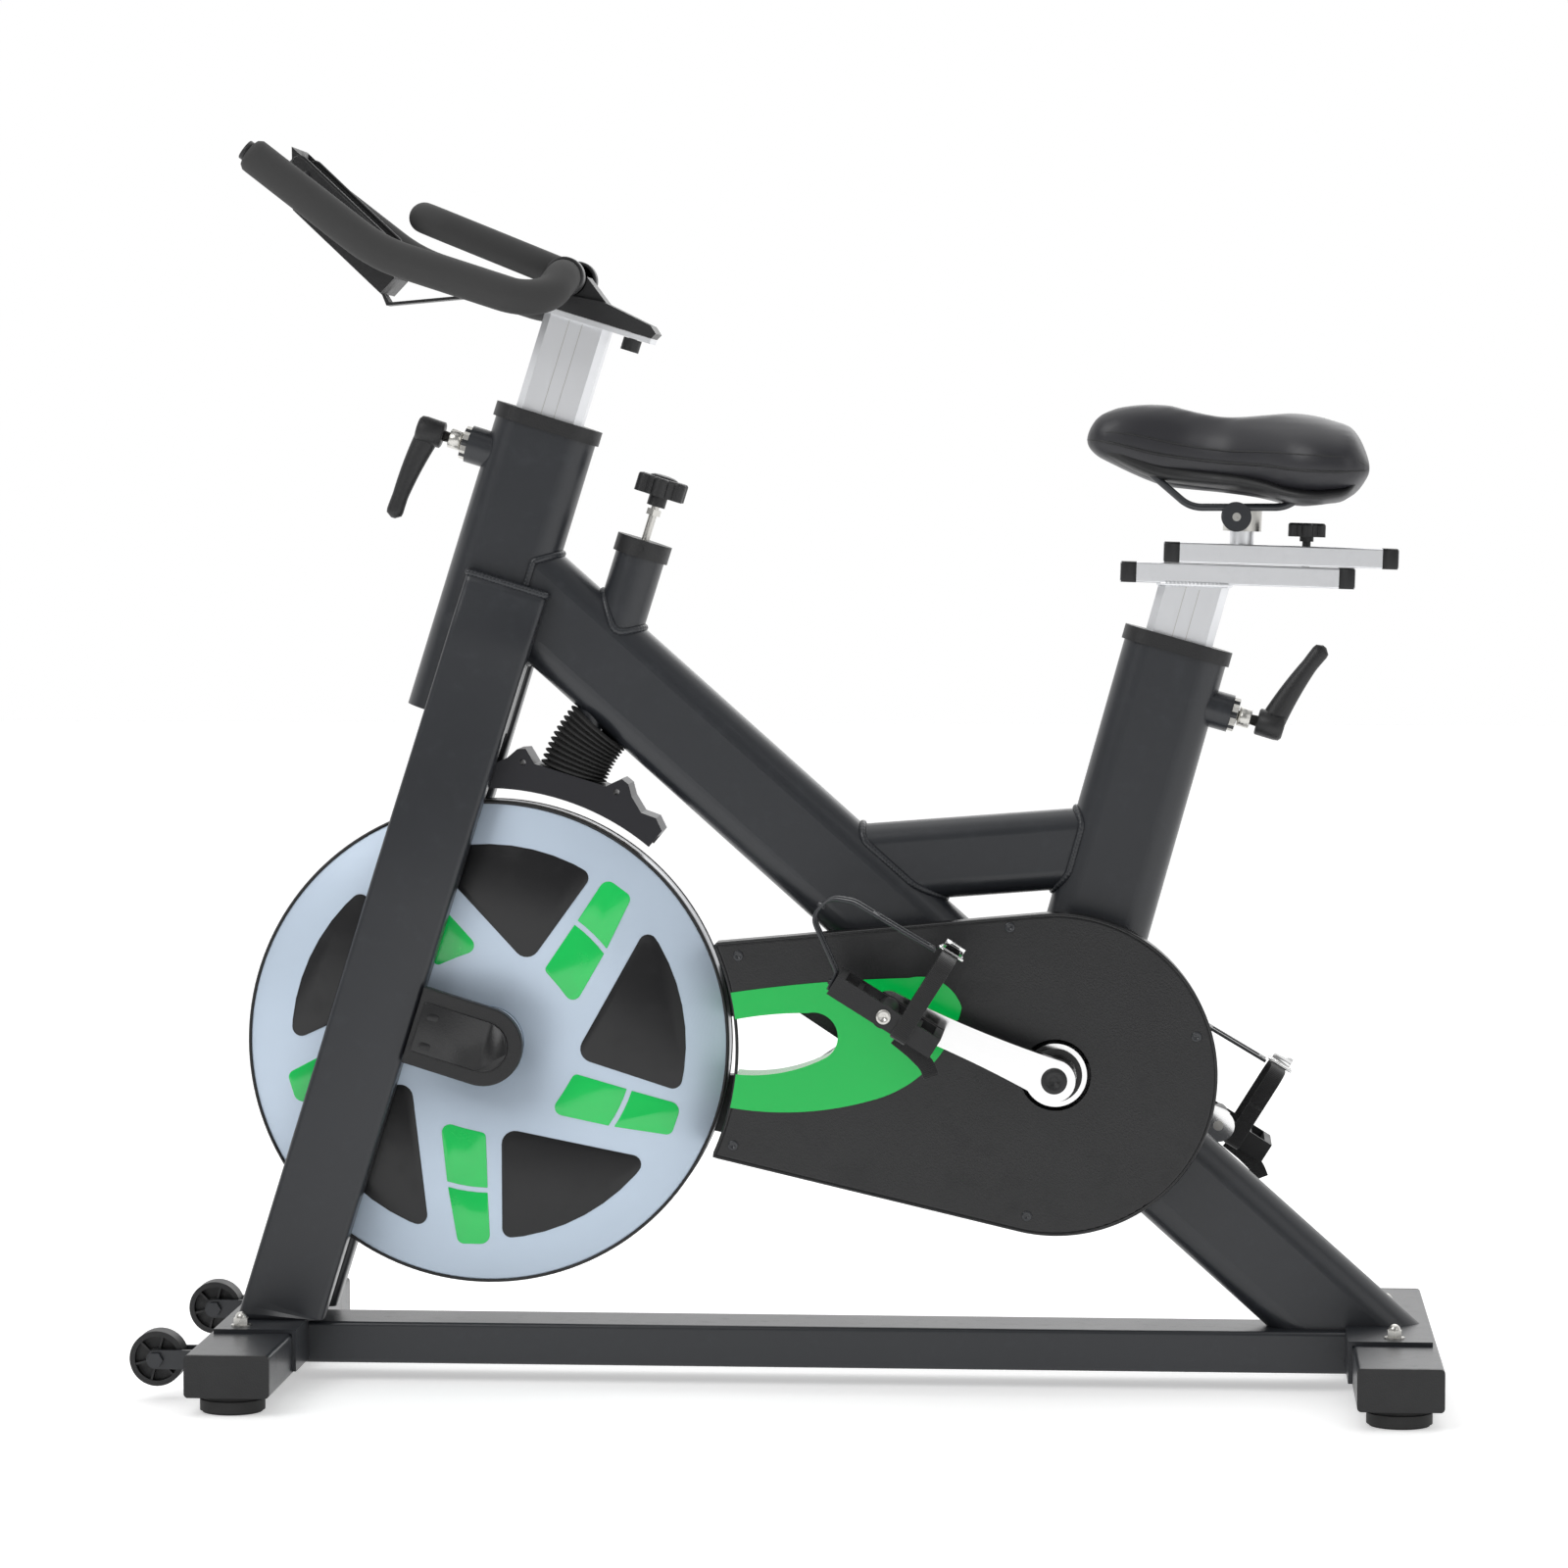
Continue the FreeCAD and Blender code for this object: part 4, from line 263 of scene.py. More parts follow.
def moulded(name, rgb, rough=0.46, grain=900.0, depth=0.00012):
    """Injection-moulded plastic with a spark-eroded grain."""
    made = Finish(name)
    pits = made.node("ShaderNodeTexVoronoi", {"feature": "SMOOTH_F1"}, Vector=made.place, Scale=grain,
                     Smoothness=0.6)
    cloud = made.noise(14.0, 4.0)
    smear = made.noise(38.0, 5.0, 0.6).between(0.48, 0.75)
    base = made.mix(cloud, shade(rgb, 0.85), shade(rgb, 1.25))
    return made.set(Base_Color=base, Roughness=rough + smear * 0.12 - cloud * 0.05,
                    Normal=made.bump(pits, depth))


def glossed(name, rgb, rough=0.12):
    """Gloss plastic or lacquer with faint ripples and handling smears."""
    made = Finish(name, Coat_Weight=0.6, Coat_Roughness=0.06)
    ripple = made.noise(32.0, 3.0)
    smear = made.noise(21.0, 6.0, 0.7).between(0.45, 0.8)
    base = made.mix(ripple, shade(rgb, 0.93), shade(rgb, 1.06))
    return made.set(Base_Color=base, Roughness=rough + smear * 0.14,
                    Normal=made.bump(ripple, 0.0004, 0.25))


def metal(name, rgb, rough, scale, turn=(0.0, 0.0, 0.0), depth=0.00003, stain=0.3):
    """Bare or plated metal with drawn grain; scale stretches the grain's direction."""
    made = Finish(name, Metallic=1.0)
    grain = made.noise(1.0, 6.0, 0.6, place=made.stretched(scale, turn))
    cloud = made.noise(26.0, 5.0, 0.6)
    film = cloud.between(0.5, 0.85)
    base = made.mix(film * stain, shade(rgb, 1.0), shade(rgb, 0.62))
    return made.set(Base_Color=base, Roughness=rough + grain * 0.10 + film * 0.10,
                    Normal=made.bump(grain, depth))


def rubbery(name, rgb):
    """Matte rubber with a chalky bloom."""
    made = Finish(name, Sheen_Weight=0.15, Sheen_Roughness=0.5)
    bloom = made.noise(70.0, 6.0, 0.6)
    grit = made.noise(1300.0, 2.0)
    base = made.mix(bloom.between(0.4, 0.85) * 0.5, shade(rgb, 0.9), shade(rgb, 2.2))
    return made.set(Base_Color=base, Roughness=0.66 + bloom * 0.16, Normal=made.bump(grit, 0.00012))


def foamy(name, rgb):
    """Closed-cell foam: fine pores over soft lumps."""
    made = Finish(name, Sheen_Weight=0.25, Sheen_Roughness=0.4)
    cells = made.node("ShaderNodeTexVoronoi", {"feature": "F1"}, Vector=made.place, Scale=1100.0)
    lumps = made.noise(160.0, 4.0)
    base = made.mix(cells.between(0.1, 0.7), shade(rgb, 1.7), shade(rgb, 0.7))
    return made.set(Base_Color=base, Roughness=0.70 + lumps * 0.14,
                    Normal=made.bump(cells * 0.5 + lumps * 0.5, 0.0003))


def vinyl(name, rgb):
    """Embossed vinyl: leather-like cells, soft creases and a worn sheen."""
    made = Finish(name)
    cells = made.node("ShaderNodeTexVoronoi", {"feature": "DISTANCE_TO_EDGE"}, Vector=made.place,
                      Scale=620.0)
    crease = made.noise(52.0, 5.0, 0.6)
    worn = made.noise(15.0, 4.0).between(0.42, 0.75)
    base = made.mix(worn, shade(rgb, 0.85), shade(rgb, 1.5))
    height = cells.between(0.0, 0.16) * 0.6 + crease * 0.4
    return made.set(Base_Color=base, Roughness=0.50 - worn * 0.10 + crease * 0.08,
                    Normal=made.bump(height, 0.00035))


def webbing(name, rgb):
    """Woven strap: ribs across and yarns along, on the strap's own UV map in metres."""
    made = Finish(name, Sheen_Weight=0.3, Sheen_Roughness=0.45)
    uv = Sock(made, made.tree.nodes.new("ShaderNodeUVMap").outputs[0])
    ribs = made.node("ShaderNodeTexWave", {"bands_direction": "X"}, Vector=uv, Scale=180.0,
                     Distortion=0.6)
    yarns = made.node("ShaderNodeTexWave", {"bands_direction": "Y"}, Vector=uv, Scale=260.0,
                      Distortion=0.4)
    weave = ribs * 0.6 + yarns * 0.4
    base = made.mix(weave, shade(rgb, 0.5), shade(rgb, 1.7))
    return made.set(Base_Color=base, Roughness=0.78 + weave * 0.1, Normal=made.bump(weave, 0.0004))


def wheel_paint(name, rgb):
    """Pale satin paint of the flywheel: faint turned rings round its centre, and fine flake."""
    made = Finish(name, Metallic=0.25, Coat_Weight=0.25, Coat_Roughness=0.25)
    flat = made.node("ShaderNodeMapping", {"vector_type": "POINT"}, Vector=made.place,
                     Location=tuple(-WHEEL), Scale=(1.0, 0.0, 1.0))
    radius = made.node("ShaderNodeVectorMath", {"operation": "LENGTH"}, flat, out=1)
    turned = made.node("ShaderNodeMath", {"operation": "SINE"}, radius * 5200.0)
    flake = made.noise(1700.0, 2.0)
    cloud = made.noise(7.0, 4.0)
    base = made.mix(cloud, shade(rgb, 0.93), shade(rgb, 1.07))
    return made.set(Base_Color=base, Roughness=0.34 + flake * 0.10 + cloud * 0.05,
                    Normal=made.bump(turned * 0.2 + flake * 0.5, 0.00008))


# ---------------------------------------------------------------------------------------------------
# Surfaces
# ---------------------------------------------------------------------------------------------------
def unit(vectors):
    """Vectors of length one."""
    vectors = np.asarray(vectors, float)
    return vectors / np.linalg.norm(vectors, axis=-1, keepdims=True)


def put_mesh(name, points, faces, uv=None, smooth=True):
    """Object at the origin from arrays of points and faces; uv holds one pair per point."""
    mesh = bpy.data.meshes.new(name)
    mesh.from_pydata(points.tolist(), [], faces)
    if uv is not None:
        corners = np.zeros(len(mesh.loops), dtype=np.int32)
        mesh.loops.foreach_get("vertex_index", corners)
        mesh.uv_layers.new(name="UVMap").data.foreach_set("uv", uv[corners].ravel())
    mesh.polygons.foreach_set("use_smooth", np.full(len(mesh.polygons), smooth))
    mesh.update()
    made = bpy.data.objects.new(name, mesh)
    bpy.context.collection.objects.link(made)
    return made


def face_outwards(made, merge=0.0):
    """Merge doubles if asked, and make a closed mesh's faces point outwards."""
    work = bmesh.new()
    work.from_mesh(made.data)
    if merge:
        bmesh.ops.remove_doubles(work, verts=work.verts, dist=merge)
    bmesh.ops.recalc_face_normals(work, faces=work.faces)
    work.to_mesh(made.data)
    work.free()
    return made


def grid_faces(rows, columns, start=0, closed_rows=False):
    """Quads of a grid of rows by columns whose columns close into rings."""
    row = np.arange(rows if closed_rows else rows - 1)[:, None]
    column = np.arange(columns)[None, :]
    after, beside = (row + 1) % rows, (column + 1) % columns
    quads = np.stack([row * columns + column, row * columns + beside,
                      after * columns + beside, after * columns + column], axis=-1)
    return (quads.reshape(-1, 4) + start).tolist()


def put_rings(name, rings, closed=False, uv=None, smooth=True):
    """Closed skin over a stack of rings (n, m, 3), capped at both ends unless closed on itself."""
    rows, columns = rings.shape[:2]
    faces = grid_faces(rows, columns, closed_rows=closed)
    if not closed:
        faces.append(list(range(columns))[::-1])
        faces.append(list(range((rows - 1) * columns, rows * columns)))
    return face_outwards(put_mesh(name, rings.reshape(-1, 3), faces, uv, smooth))


def put_many(name, stacks, smooth=True):
    """One object from several stacks of rings, each capped at both ends."""
    points, faces, start = [], [], 0
    for rings in stacks:
        rows, columns = rings.shape[:2]
        points.append(rings.reshape(-1, 3))
        faces += grid_faces(rows, columns, start)
        faces.append((np.arange(columns)[::-1] + start).tolist())
        faces.append((np.arange(columns) + start + (rows - 1) * columns).tolist())
        start += rows * columns
    return face_outwards(put_mesh(name, np.concatenate(points), faces, smooth=smooth))


def spun(profile, centre, axis, sides=64):
    """Rings of a turned shape: (distance along the axis, radius) pairs carried round the axis."""
    profile = np.asarray(profile, float)
    axis = unit(axis)
    first = unit(np.cross(axis, ACROSS if abs(axis[1]) < 0.9 else [1.0, 0.0, 0.0]))
    second = np.cross(axis, first)
    turn = np.linspace(0, 2 * np.pi, sides, endpoint=False)
    round_ = np.cos(turn)[:, None] * first + np.sin(turn)[:, None] * second
    return np.asarray(centre) + profile[:, :1, None] * axis + profile[:, 1:, None] * round_


def along_line(points, radii, step=0.004):
    """Straight runs joined by arcs, sampled evenly: a tangent arc replaces each inner corner."""
    points = [np.asarray(point, float) for point in points]
    samples = [points[0]]
    for before, corner, after, radius in zip(points, points[1:], points[2:], radii):
        first, second = unit(before - corner), unit(after - corner)
        half = math.acos(np.clip(np.dot(first, second), -1, 1)) / 2
        reach = radius / math.tan(half)
        middle = corner + unit(first + second) * radius / math.sin(half)
        start, stop = corner + first * reach - middle, corner + second * reach - middle
        sweep = math.pi - 2 * half
        count = max(3, int(radius * sweep / step))
        part = np.linspace(0, 1, count)[:, None]
        arc = (np.sin((1 - part) * sweep) * start + np.sin(part * sweep) * stop) / math.sin(sweep)
        samples.extend(middle + arc)
    samples.append(points[-1])
    samples = np.array(samples)
    walk = np.concatenate([[0], np.cumsum(np.linalg.norm(np.diff(samples, axis=0), axis=1))])
    even = np.linspace(0, walk[-1], max(4, int(walk[-1] / step)))
    return np.stack([np.interp(even, walk, samples[:, part]) for part in range(3)], axis=1)


def swept(path, outline, up=ACROSS, closed=False):
    """Rings of a profile carried along a path.

    The profile's (side, up) axes come from the path's direction and one fixed up vector, so the
    profile never twists; outline is (m, 2), or (n, m, 2) where it changes along the path.
    """
    if closed:
        run = unit(np.roll(path, -1, axis=0) - np.roll(path, 1, axis=0))
    else:
        run = unit(np.gradient(path, axis=0))
    side = unit(np.cross(run, up))
    rise = np.cross(side, run)
    outline = np.broadcast_to(outline, (len(path),) + np.shape(outline)[-2:])
    return path[:, None] + outline[..., :1] * side[:, None] + outline[..., 1:] * rise[:, None]


def round_outline(radius, sides=32):
    """Circle as (m, 2); radius may hold one value per ring."""
    turn = np.linspace(0, 2 * np.pi, sides, endpoint=False)
    return np.asarray(radius)[..., None, None] * np.stack([np.cos(turn), np.sin(turn)], axis=-1)


def rod_radius(path, radius, end):
    """Radius along a path with both ends rounded over the length end (quarter ellipses)."""
    walk = np.concatenate([[0], np.cumsum(np.linalg.norm(np.diff(path, axis=0), axis=1))])
    near = np.minimum(walk, walk[-1] - walk) / end
    return radius * np.sqrt(np.clip(1 - (1 - np.clip(near, 0.02, 1)) ** 2, 0, 1))


def rounded_corners(corners, radius, count=7):
    """Outline (m, 2) of a polygon whose corners are arcs of the given radius."""
    corners = np.asarray(corners, float)
    radii = np.broadcast_to(radius, len(corners))
    samples = []
    for before, corner, after, size in zip(np.roll(corners, 1, axis=0), corners,
                                           np.roll(corners, -1, axis=0), radii):
        first, second = unit(before - corner), unit(after - corner)
        half = math.acos(np.clip(np.dot(first, second), -1, 1)) / 2
        middle = corner + unit(first + second) * size / math.sin(half)
        start = corner + first * size / math.tan(half) - middle
        stop = corner + second * size / math.tan(half) - middle
        sweep = math.pi - 2 * half
        part = np.linspace(0, 1, count)[:, None]
        arc = (np.sin((1 - part) * sweep) * start + np.sin(part * sweep) * stop) / math.sin(sweep)
        samples.append(middle + arc)
    return np.concatenate(samples)


def inset_outline(outline, depth):
    """Outline moved inwards: each point goes along the bisector of its two edges."""
    ahead = unit(np.roll(outline, -1, axis=0) - np.roll(outline, 1, axis=0))
    x, y = outline[:, 0], outline[:, 1]
    area = np.sum(x * np.roll(y, -1) - y * np.roll(x, -1))
    inward = np.stack([-ahead[:, 1], ahead[:, 0]], axis=1) * (1 if area > 0 else -1)
    return outline + inward * depth


def plate_rings(outline, base, along_x, along_y, out, depth, edge=0.0004):
    """Rings of a flat plate with a rounded front edge, standing on base and facing out."""
    steps = [(0.0, 0.0), (0.0, depth - edge), (edge * 0.3, depth - edge * 0.3), (edge, depth)]
    rings = []
    for inset, height in steps:
        shape = inset_outline(outline, inset) if inset else outline
        rings.append(np.asarray(base) + shape[:, :1] * along_x + shape[:, 1:] * along_y
                     + np.asarray(out) * height)
    return np.array(rings)


def finish_piece(made, finish, body, *replaced, slot=None):
    """Give a finished piece its material, its body and the nodes it stands for; slot is not used."""
    made.data.materials.clear()
    made.data.materials.append(finish_of(finish))
    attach(made, body)
    if replaced:
        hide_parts(*replaced)
    return made


def finish_of(name):
    """A finish made by the finishes operator."""
    return bpy.data.materials[name]


# ---------------------------------------------------------------------------------------------------
# Lines of the frame, worked out from the joints
# ---------------------------------------------------------------------------------------------------
HEAD_TOP = WHEEL + 0.5772 * HEAD_UP - 0.1227 * HEAD_BACK
BEAM_START = HEAD_TOP - 0.1403 * HEAD_UP
BEAM_RUN = unit(CRANK - BEAM_START)
BEAM_UP = np.array([-BEAM_RUN[2], 0.0, BEAM_RUN[0]])
SEAT_TOP = CRANK + 0.4141 * SEAT_UP
LINK_START = CRANK + 0.2225 * SEAT_UP
LINK_RUN = np.array([-math.cos(math.radians(4.5)), 0.0, -math.sin(math.radians(4.5))])
LINK_UP = np.array([LINK_RUN[2], 0.0, -LINK_RUN[0]])
SLIDE_UP = np.array([-SLIDE[2], 0.0, SLIDE[0]])
TUBE_DEPTH, TUBE_WIDTH = 0.100, 0.050


def in_side_view(radius, degrees, centre=WHEEL):
    """Points of the side view at a radius and an angle from +X towards +Z, as (n, 2) X and Z."""
    turn = np.radians(degrees)
    return np.stack([centre[0] + radius * np.cos(turn), centre[2] + radius * np.sin(turn)], axis=-1)


def side_plate(outline, y, depth, edge=0.0004):
    """Rings of a plate drawn in the side view (X, Z), standing on the plane Y = y.

    depth is negative for a plate that faces the near side.
    """
    return plate_rings(outline, [0.0, y, 0.0], np.array([1.0, 0.0, 0.0]), np.array([0.0, 0.0, 1.0]),
                       ACROSS * np.sign(depth), abs(depth), edge)


def band(centre, axis, profile, sides=128):
    """Closed ring turned about an axis; profile is a closed loop of (along, radius) pairs."""
    return spun(profile, centre, axis, sides)


# ---------------------------------------------------------------------------------------------------
# Flywheel
# ---------------------------------------------------------------------------------------------------
RIM_HALF = 0.021
FACE_DEPTH = 0.0012


class BIKE_OT_flywheel(Operator):
    """Flywheel faces, windows, green spokes, dark edge rings and the turned braking band."""

    bl_idname = "bike.flywheel"
    bl_label = "Flywheel Trim"

    def windows(self, sizes):
        """A window is bounded by an arc and by two straight sides that meet near the hub."""
        outer, inner = sizes.window_outer, sizes.window_inner
        arc = in_side_view(outer, np.linspace(-14.1, 36.3, 9))
        corners = np.concatenate([arc, in_side_view(inner - 0.004, np.array([-9.4]))])
        return rounded_corners(corners, [0.009] + [0.0008] * 7 + [0.009, 0.013])

    def spokes(self):
        """Each spoke is two blocks with a narrow curved gap between them."""
        low_arc = in_side_view(0.1412, np.linspace(53.6, 37.4, 5))
        high_arc = in_side_view(0.1462, np.linspace(38.3, 53.6, 5))
        root = in_side_view(np.array([0.090, 0.0870, 0.0885]), np.array([22.8, 38.0, 52.2]))
        tip = in_side_view(np.array([0.196, 0.198]), np.array([54.4, 45.3]))
        inner = np.concatenate([low_arc, root])
        outer = np.concatenate([high_arc, tip])
        flat = [0.0006] * 5
        return (rounded_corners(inner, flat + [0.008, 0.020, 0.005]),
                rounded_corners(outer, flat + [0.009, 0.007]))

    def execute(self, context):
        sizes = context.scene.bike_sizes
        profile = [(0.0, 0.0345), (0.0, 0.2296), (FACE_DEPTH - 0.0004, 0.2300), (FACE_DEPTH, 0.2296),
                   (FACE_DEPTH, 0.0350), (FACE_DEPTH - 0.0004, 0.0345)]
        edge = [(-0.0022, 0.2312), (-0.0022, 0.2328), (FACE_DEPTH + 0.0003, 0.2328),
                (FACE_DEPTH + 0.0010, 0.2318), (FACE_DEPTH + 0.0006, 0.2298), (0.0004, 0.2303)]
        shapes = [self.windows(sizes), *self.spokes()]
        for side, label in SIDES:
            centre = WHEEL + ACROSS * side * RIM_HALF
            face = put_rings("flywheel_face_" + label,
                             band(centre, ACROSS * side, profile, 160), closed=True)
            finish_piece(face, "flywheel_paint", "flywheel")
            ring = put_rings("flywheel_edge_" + label, band(centre, ACROSS * side, edge, 160),
                             closed=True)
            finish_piece(ring, "moulding", "flywheel")
            level = side * (RIM_HALF + FACE_DEPTH)
            windows, spokes = [], []
            for step in range(5):
                for shape, where in zip(shapes, (windows, spokes, spokes)):
                    where.append(side_plate(self.turned(shape, 72 * step), level,
                                            side * sizes.trim_depth))
            finish_piece(put_many("flywheel_windows_" + label, windows), "print_black_and_painted_shade", "flywheel")
            finish_piece(put_many("flywheel_spokes_" + label, spokes), "spoke_green", "flywheel")
        half = RIM_HALF - 0.0015
        strip = [(-half, 0.2310), (-half, 0.2321), (0.0, 0.2325), (half, 0.2321), (half, 0.2310)]
        finish_piece(put_rings("flywheel_band", band(WHEEL, ACROSS, strip, 200), closed=True),
                     "turned_steel", "flywheel")
        return {"FINISHED"}

    def turned(self, outline, degrees):
        """Outline turned about the wheel's centre."""
        turn = math.radians(degrees)
        spin = np.array([[math.cos(turn), -math.sin(turn)], [math.sin(turn), math.cos(turn)]])
        middle = WHEEL[[0, 2]]
        return (outline - middle) @ spin.T + middle


# ---------------------------------------------------------------------------------------------------
# Handlebar grips
# ---------------------------------------------------------------------------------------------------
def tube_piece(name, path, radius, end, sides=32):
    """Round bar along a path with rounded ends."""
    return put_rings(name, swept(path, round_outline(rod_radius(path, radius, end), sides)))


class BIKE_OT_grips(Operator):
    """Foam grips of the handlebar, the centre loop and the end plugs."""

    bl_idname = "bike.grips"
    bl_label = "Handlebar Grips"

    def execute(self, context):
        radius = context.scene.bike_sizes.grip_radius
        spread = -(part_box("left_grip_bar")[0][1] + radius)
        bar = np.array([-0.212, 0.0, 1.060])
        half = [bar + [-0.292, spread, 0.1162], bar + [-0.168, spread, 0.020],
                bar + [-0.014, spread, -0.030], bar + [0.0, 0.072, 0.0]]
        other = [point * [1, -1, 1] for point in half[::-1]]
        path = along_line(half + other, [0.150, 0.042, 0.045, 0.045, 0.042, 0.150])
        grips = tube_piece("handlebar_grips", path, radius, 0.009)
        finish_piece(grips, "grip_foam", "handlebar", "left_grip_bar", "right_grip_bar")
        run = unit(half[0] - half[1])
        plug = [(-0.004, 0.0100), (0.0012, 0.0100), (0.0018, 0.0094), (0.0021, 0.0002)]
        plugs = [spun(plug, half[0] * [1, side, 1] + run * 0.0001, run * [1, side, 1], 32)
                 for side in (-1, 1)]
        finish_piece(put_many("grip_plugs", plugs), "moulding", "handlebar")
        rear, front = bar + [-0.002, 0, 0.002], bar + [-0.140, 0, 0.058]
        reach = ACROSS * 0.040
        loop = along_line([rear - reach, front - reach, front + reach, rear + reach], [0.030, 0.030])
        finish_piece(tube_piece("centre_grip", loop, radius - 0.002, 0.004),
                     "grip_foam", "handlebar", "centre_loop")
        collar = [(-0.011, radius + 0.0006), (-0.010, radius + 0.0018), (0.010, radius + 0.0018),
                  (0.011, radius + 0.0006), (0.011, radius - 0.001), (-0.011, radius - 0.001)]
        for side, label in SIDES:
            ring = put_rings("grip_collar_" + label,
                             spun(collar, bar + ACROSS * side * 0.058, ACROSS, 40), closed=True)
            finish_piece(ring, "moulding", "handlebar")
        return {"FINISHED"}


# ---------------------------------------------------------------------------------------------------
# Bellows
# ---------------------------------------------------------------------------------------------------
class BIKE_OT_bellows(Operator):
    """Rubber bellows between the beam's underside and the brake shoe."""

    bl_idname = "bike.bellows"
    bl_label = "Bellows"

    def execute(self, context):
        folds = context.scene.bike_sizes.folds
        base = WHEEL + HEAD_UP * 0.2705
        pivot = base + HEAD_BACK * 0.123
        sweep = math.radians(24.3)
        part = np.linspace(0, 1, folds * 8 + 1)
        turn = part * sweep
        out = -np.cos(turn)[:, None] * HEAD_BACK + np.sin(turn)[:, None] * HEAD_UP
        centres = pivot + 0.123 * out
        wave = np.abs(np.sin(np.pi * folds * part)) ** 0.8
        radius = 0.0238 + 0.0068 * wave
        around = np.linspace(0, 2 * np.pi, 56, endpoint=False)
        outer = (centres[:, None] + radius[:, None, None]
                 * (1.09 * np.cos(around)[None, :, None] * out[:, None]
                    + np.sin(around)[None, :, None] * ACROSS))
        inner = centres[:, None] + (outer - centres[:, None]) * 0.90
        made = put_rings("bellows", np.concatenate([outer, inner[::-1]]), closed=True)
        made.data.materials.append(finish_of("rubber"))
        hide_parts("brake_bellows")
        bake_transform(made)
        return {"FINISHED"}


# ---------------------------------------------------------------------------------------------------
# Fork legs
# ---------------------------------------------------------------------------------------------------
def eased(value, stations, numbers):
    """Numbers between stations, joined by smoothsteps."""
    stations, numbers = np.asarray(stations), np.asarray(numbers)
    spot = np.clip(np.searchsorted(stations, value) - 1, 0, len(stations) - 2)
    part = np.clip((value - stations[spot]) / (stations[spot + 1] - stations[spot]), 0, 1)
    return numbers[spot] + (numbers[spot + 1] - numbers[spot]) * part * part * (3 - 2 * part)


class BIKE_OT_fork(Operator):
    """Box legs of the fork with rolled edges, easing inwards to the head tube."""

    bl_idname = "bike.fork"
    bl_label = "Fork Legs"

    def execute(self, context):
        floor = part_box("fork_legs")[0][2]
        foot_line = HEAD_TOP + HEAD_BACK * 0.012
        top = foot_line - HEAD_UP * 0.150
        reach = (top[2] - floor + 0.012) / HEAD_UP[2]
        walk = np.linspace(0, reach, 90)
        knee = reach - 0.42
        inner = eased(walk, [0, knee, reach - 0.105, reach], [0.029, 0.029, 0.0262, 0.0251])
        outer = eased(walk, [0, knee + 0.10, reach - 0.06, reach], [0.0589, 0.0589, 0.0490, 0.0440])
        corners = np.array([[-0.0398, 0], [0.0398, 0], [0.0398, 1], [-0.0398, 1]])
        radius, nominal = 0.0055, 0.030
        legs = []
        for side in (-1, 1):
            wide = (outer - inner)[:, None, None]
            box = rounded_corners(corners * [1, nominal], radius, 6)
            shape = box[None] * [1, 1 / nominal] * np.concatenate([np.ones_like(wide), wide], axis=2)
            shape = shape + np.stack([np.zeros_like(inner), inner], axis=1)[:, None]
            line = top - HEAD_UP * (reach - walk[:, None])
            rings = line[:, None] + shape[..., :1] * HEAD_BACK + shape[..., 1:] * ACROSS * side
            tilt = np.clip(floor - rings[..., 2:], 0, None)
            legs.append(rings + tilt / HEAD_UP[2] * HEAD_UP)
        made = put_many("fork_legs_rolled", legs)
        finish_piece(made, "powder_coat", "frame", "fork_legs")
        return {"FINISHED"}


# ---------------------------------------------------------------------------------------------------
# Weld beads
# ---------------------------------------------------------------------------------------------------
def oval(depth, width, count=120):
    """Flat-oval outline as (across, up): straight sides between two half circles."""
    turn = np.linspace(0, 2 * np.pi, count, endpoint=False)
    radius, half = width / 2, (depth - width) / 2
    return np.stack([radius * np.cos(turn), radius * np.sin(turn) + half * np.sign(np.sin(turn))],
                    axis=1)


def where_it_lands(shape, start, run, up, middle, normal, depth, width):
    """Loop where a tube's outline, pushed along run, meets a flat-oval tube.

    The other tube's face stands off its middle by its straight half-depth plus the root of its
    radius squared less the distance across squared.
    """
    across = np.clip(shape[:, 0], -width / 2 + 0.0002, width / 2 - 0.0002)
    face = (depth - width) / 2 + np.sqrt((width / 2) ** 2 - across ** 2)
    points = start + shape[:, :1] * ACROSS + shape[:, 1:] * up
    gap = face - (points - middle) @ normal
    return points + (gap / np.dot(run, normal))[:, None] * run


def even_loop(points, step):
    """Closed loop sampled at even steps."""
    ring = np.concatenate([points, points[:1]])
    walk = np.concatenate([[0], np.cumsum(np.linalg.norm(np.diff(ring, axis=0), axis=1))])
    even = np.linspace(0, walk[-1], int(walk[-1] / step), endpoint=False)
    return np.stack([np.interp(even, walk, ring[:, part]) for part in range(3)], axis=1)


def bead(points, radius, ripple, step=0.0012, wave=0.0036):
    """Closed rippled bead: a round section whose radius swells with every weld drop."""
    path = even_loop(points, step)
    walk = np.arange(len(path)) * step
    drops = round(walk[-1] / wave)
    size = radius + ripple * np.abs(np.sin(np.pi * drops * walk / (walk[-1] + step)))
    run = unit(np.roll(path, -1, axis=0) - np.roll(path, 1, axis=0))
    out = unit(path - path.mean(axis=0))
    side = unit(np.cross(run, out))
    rise = np.cross(side, run)
    turn = np.linspace(0, 2 * np.pi, 10, endpoint=False)
    return path[:, None] + size[:, None, None] * (np.cos(turn)[:, None] * side[:, None]
                                                  + np.sin(turn)[:, None] * rise[:, None])


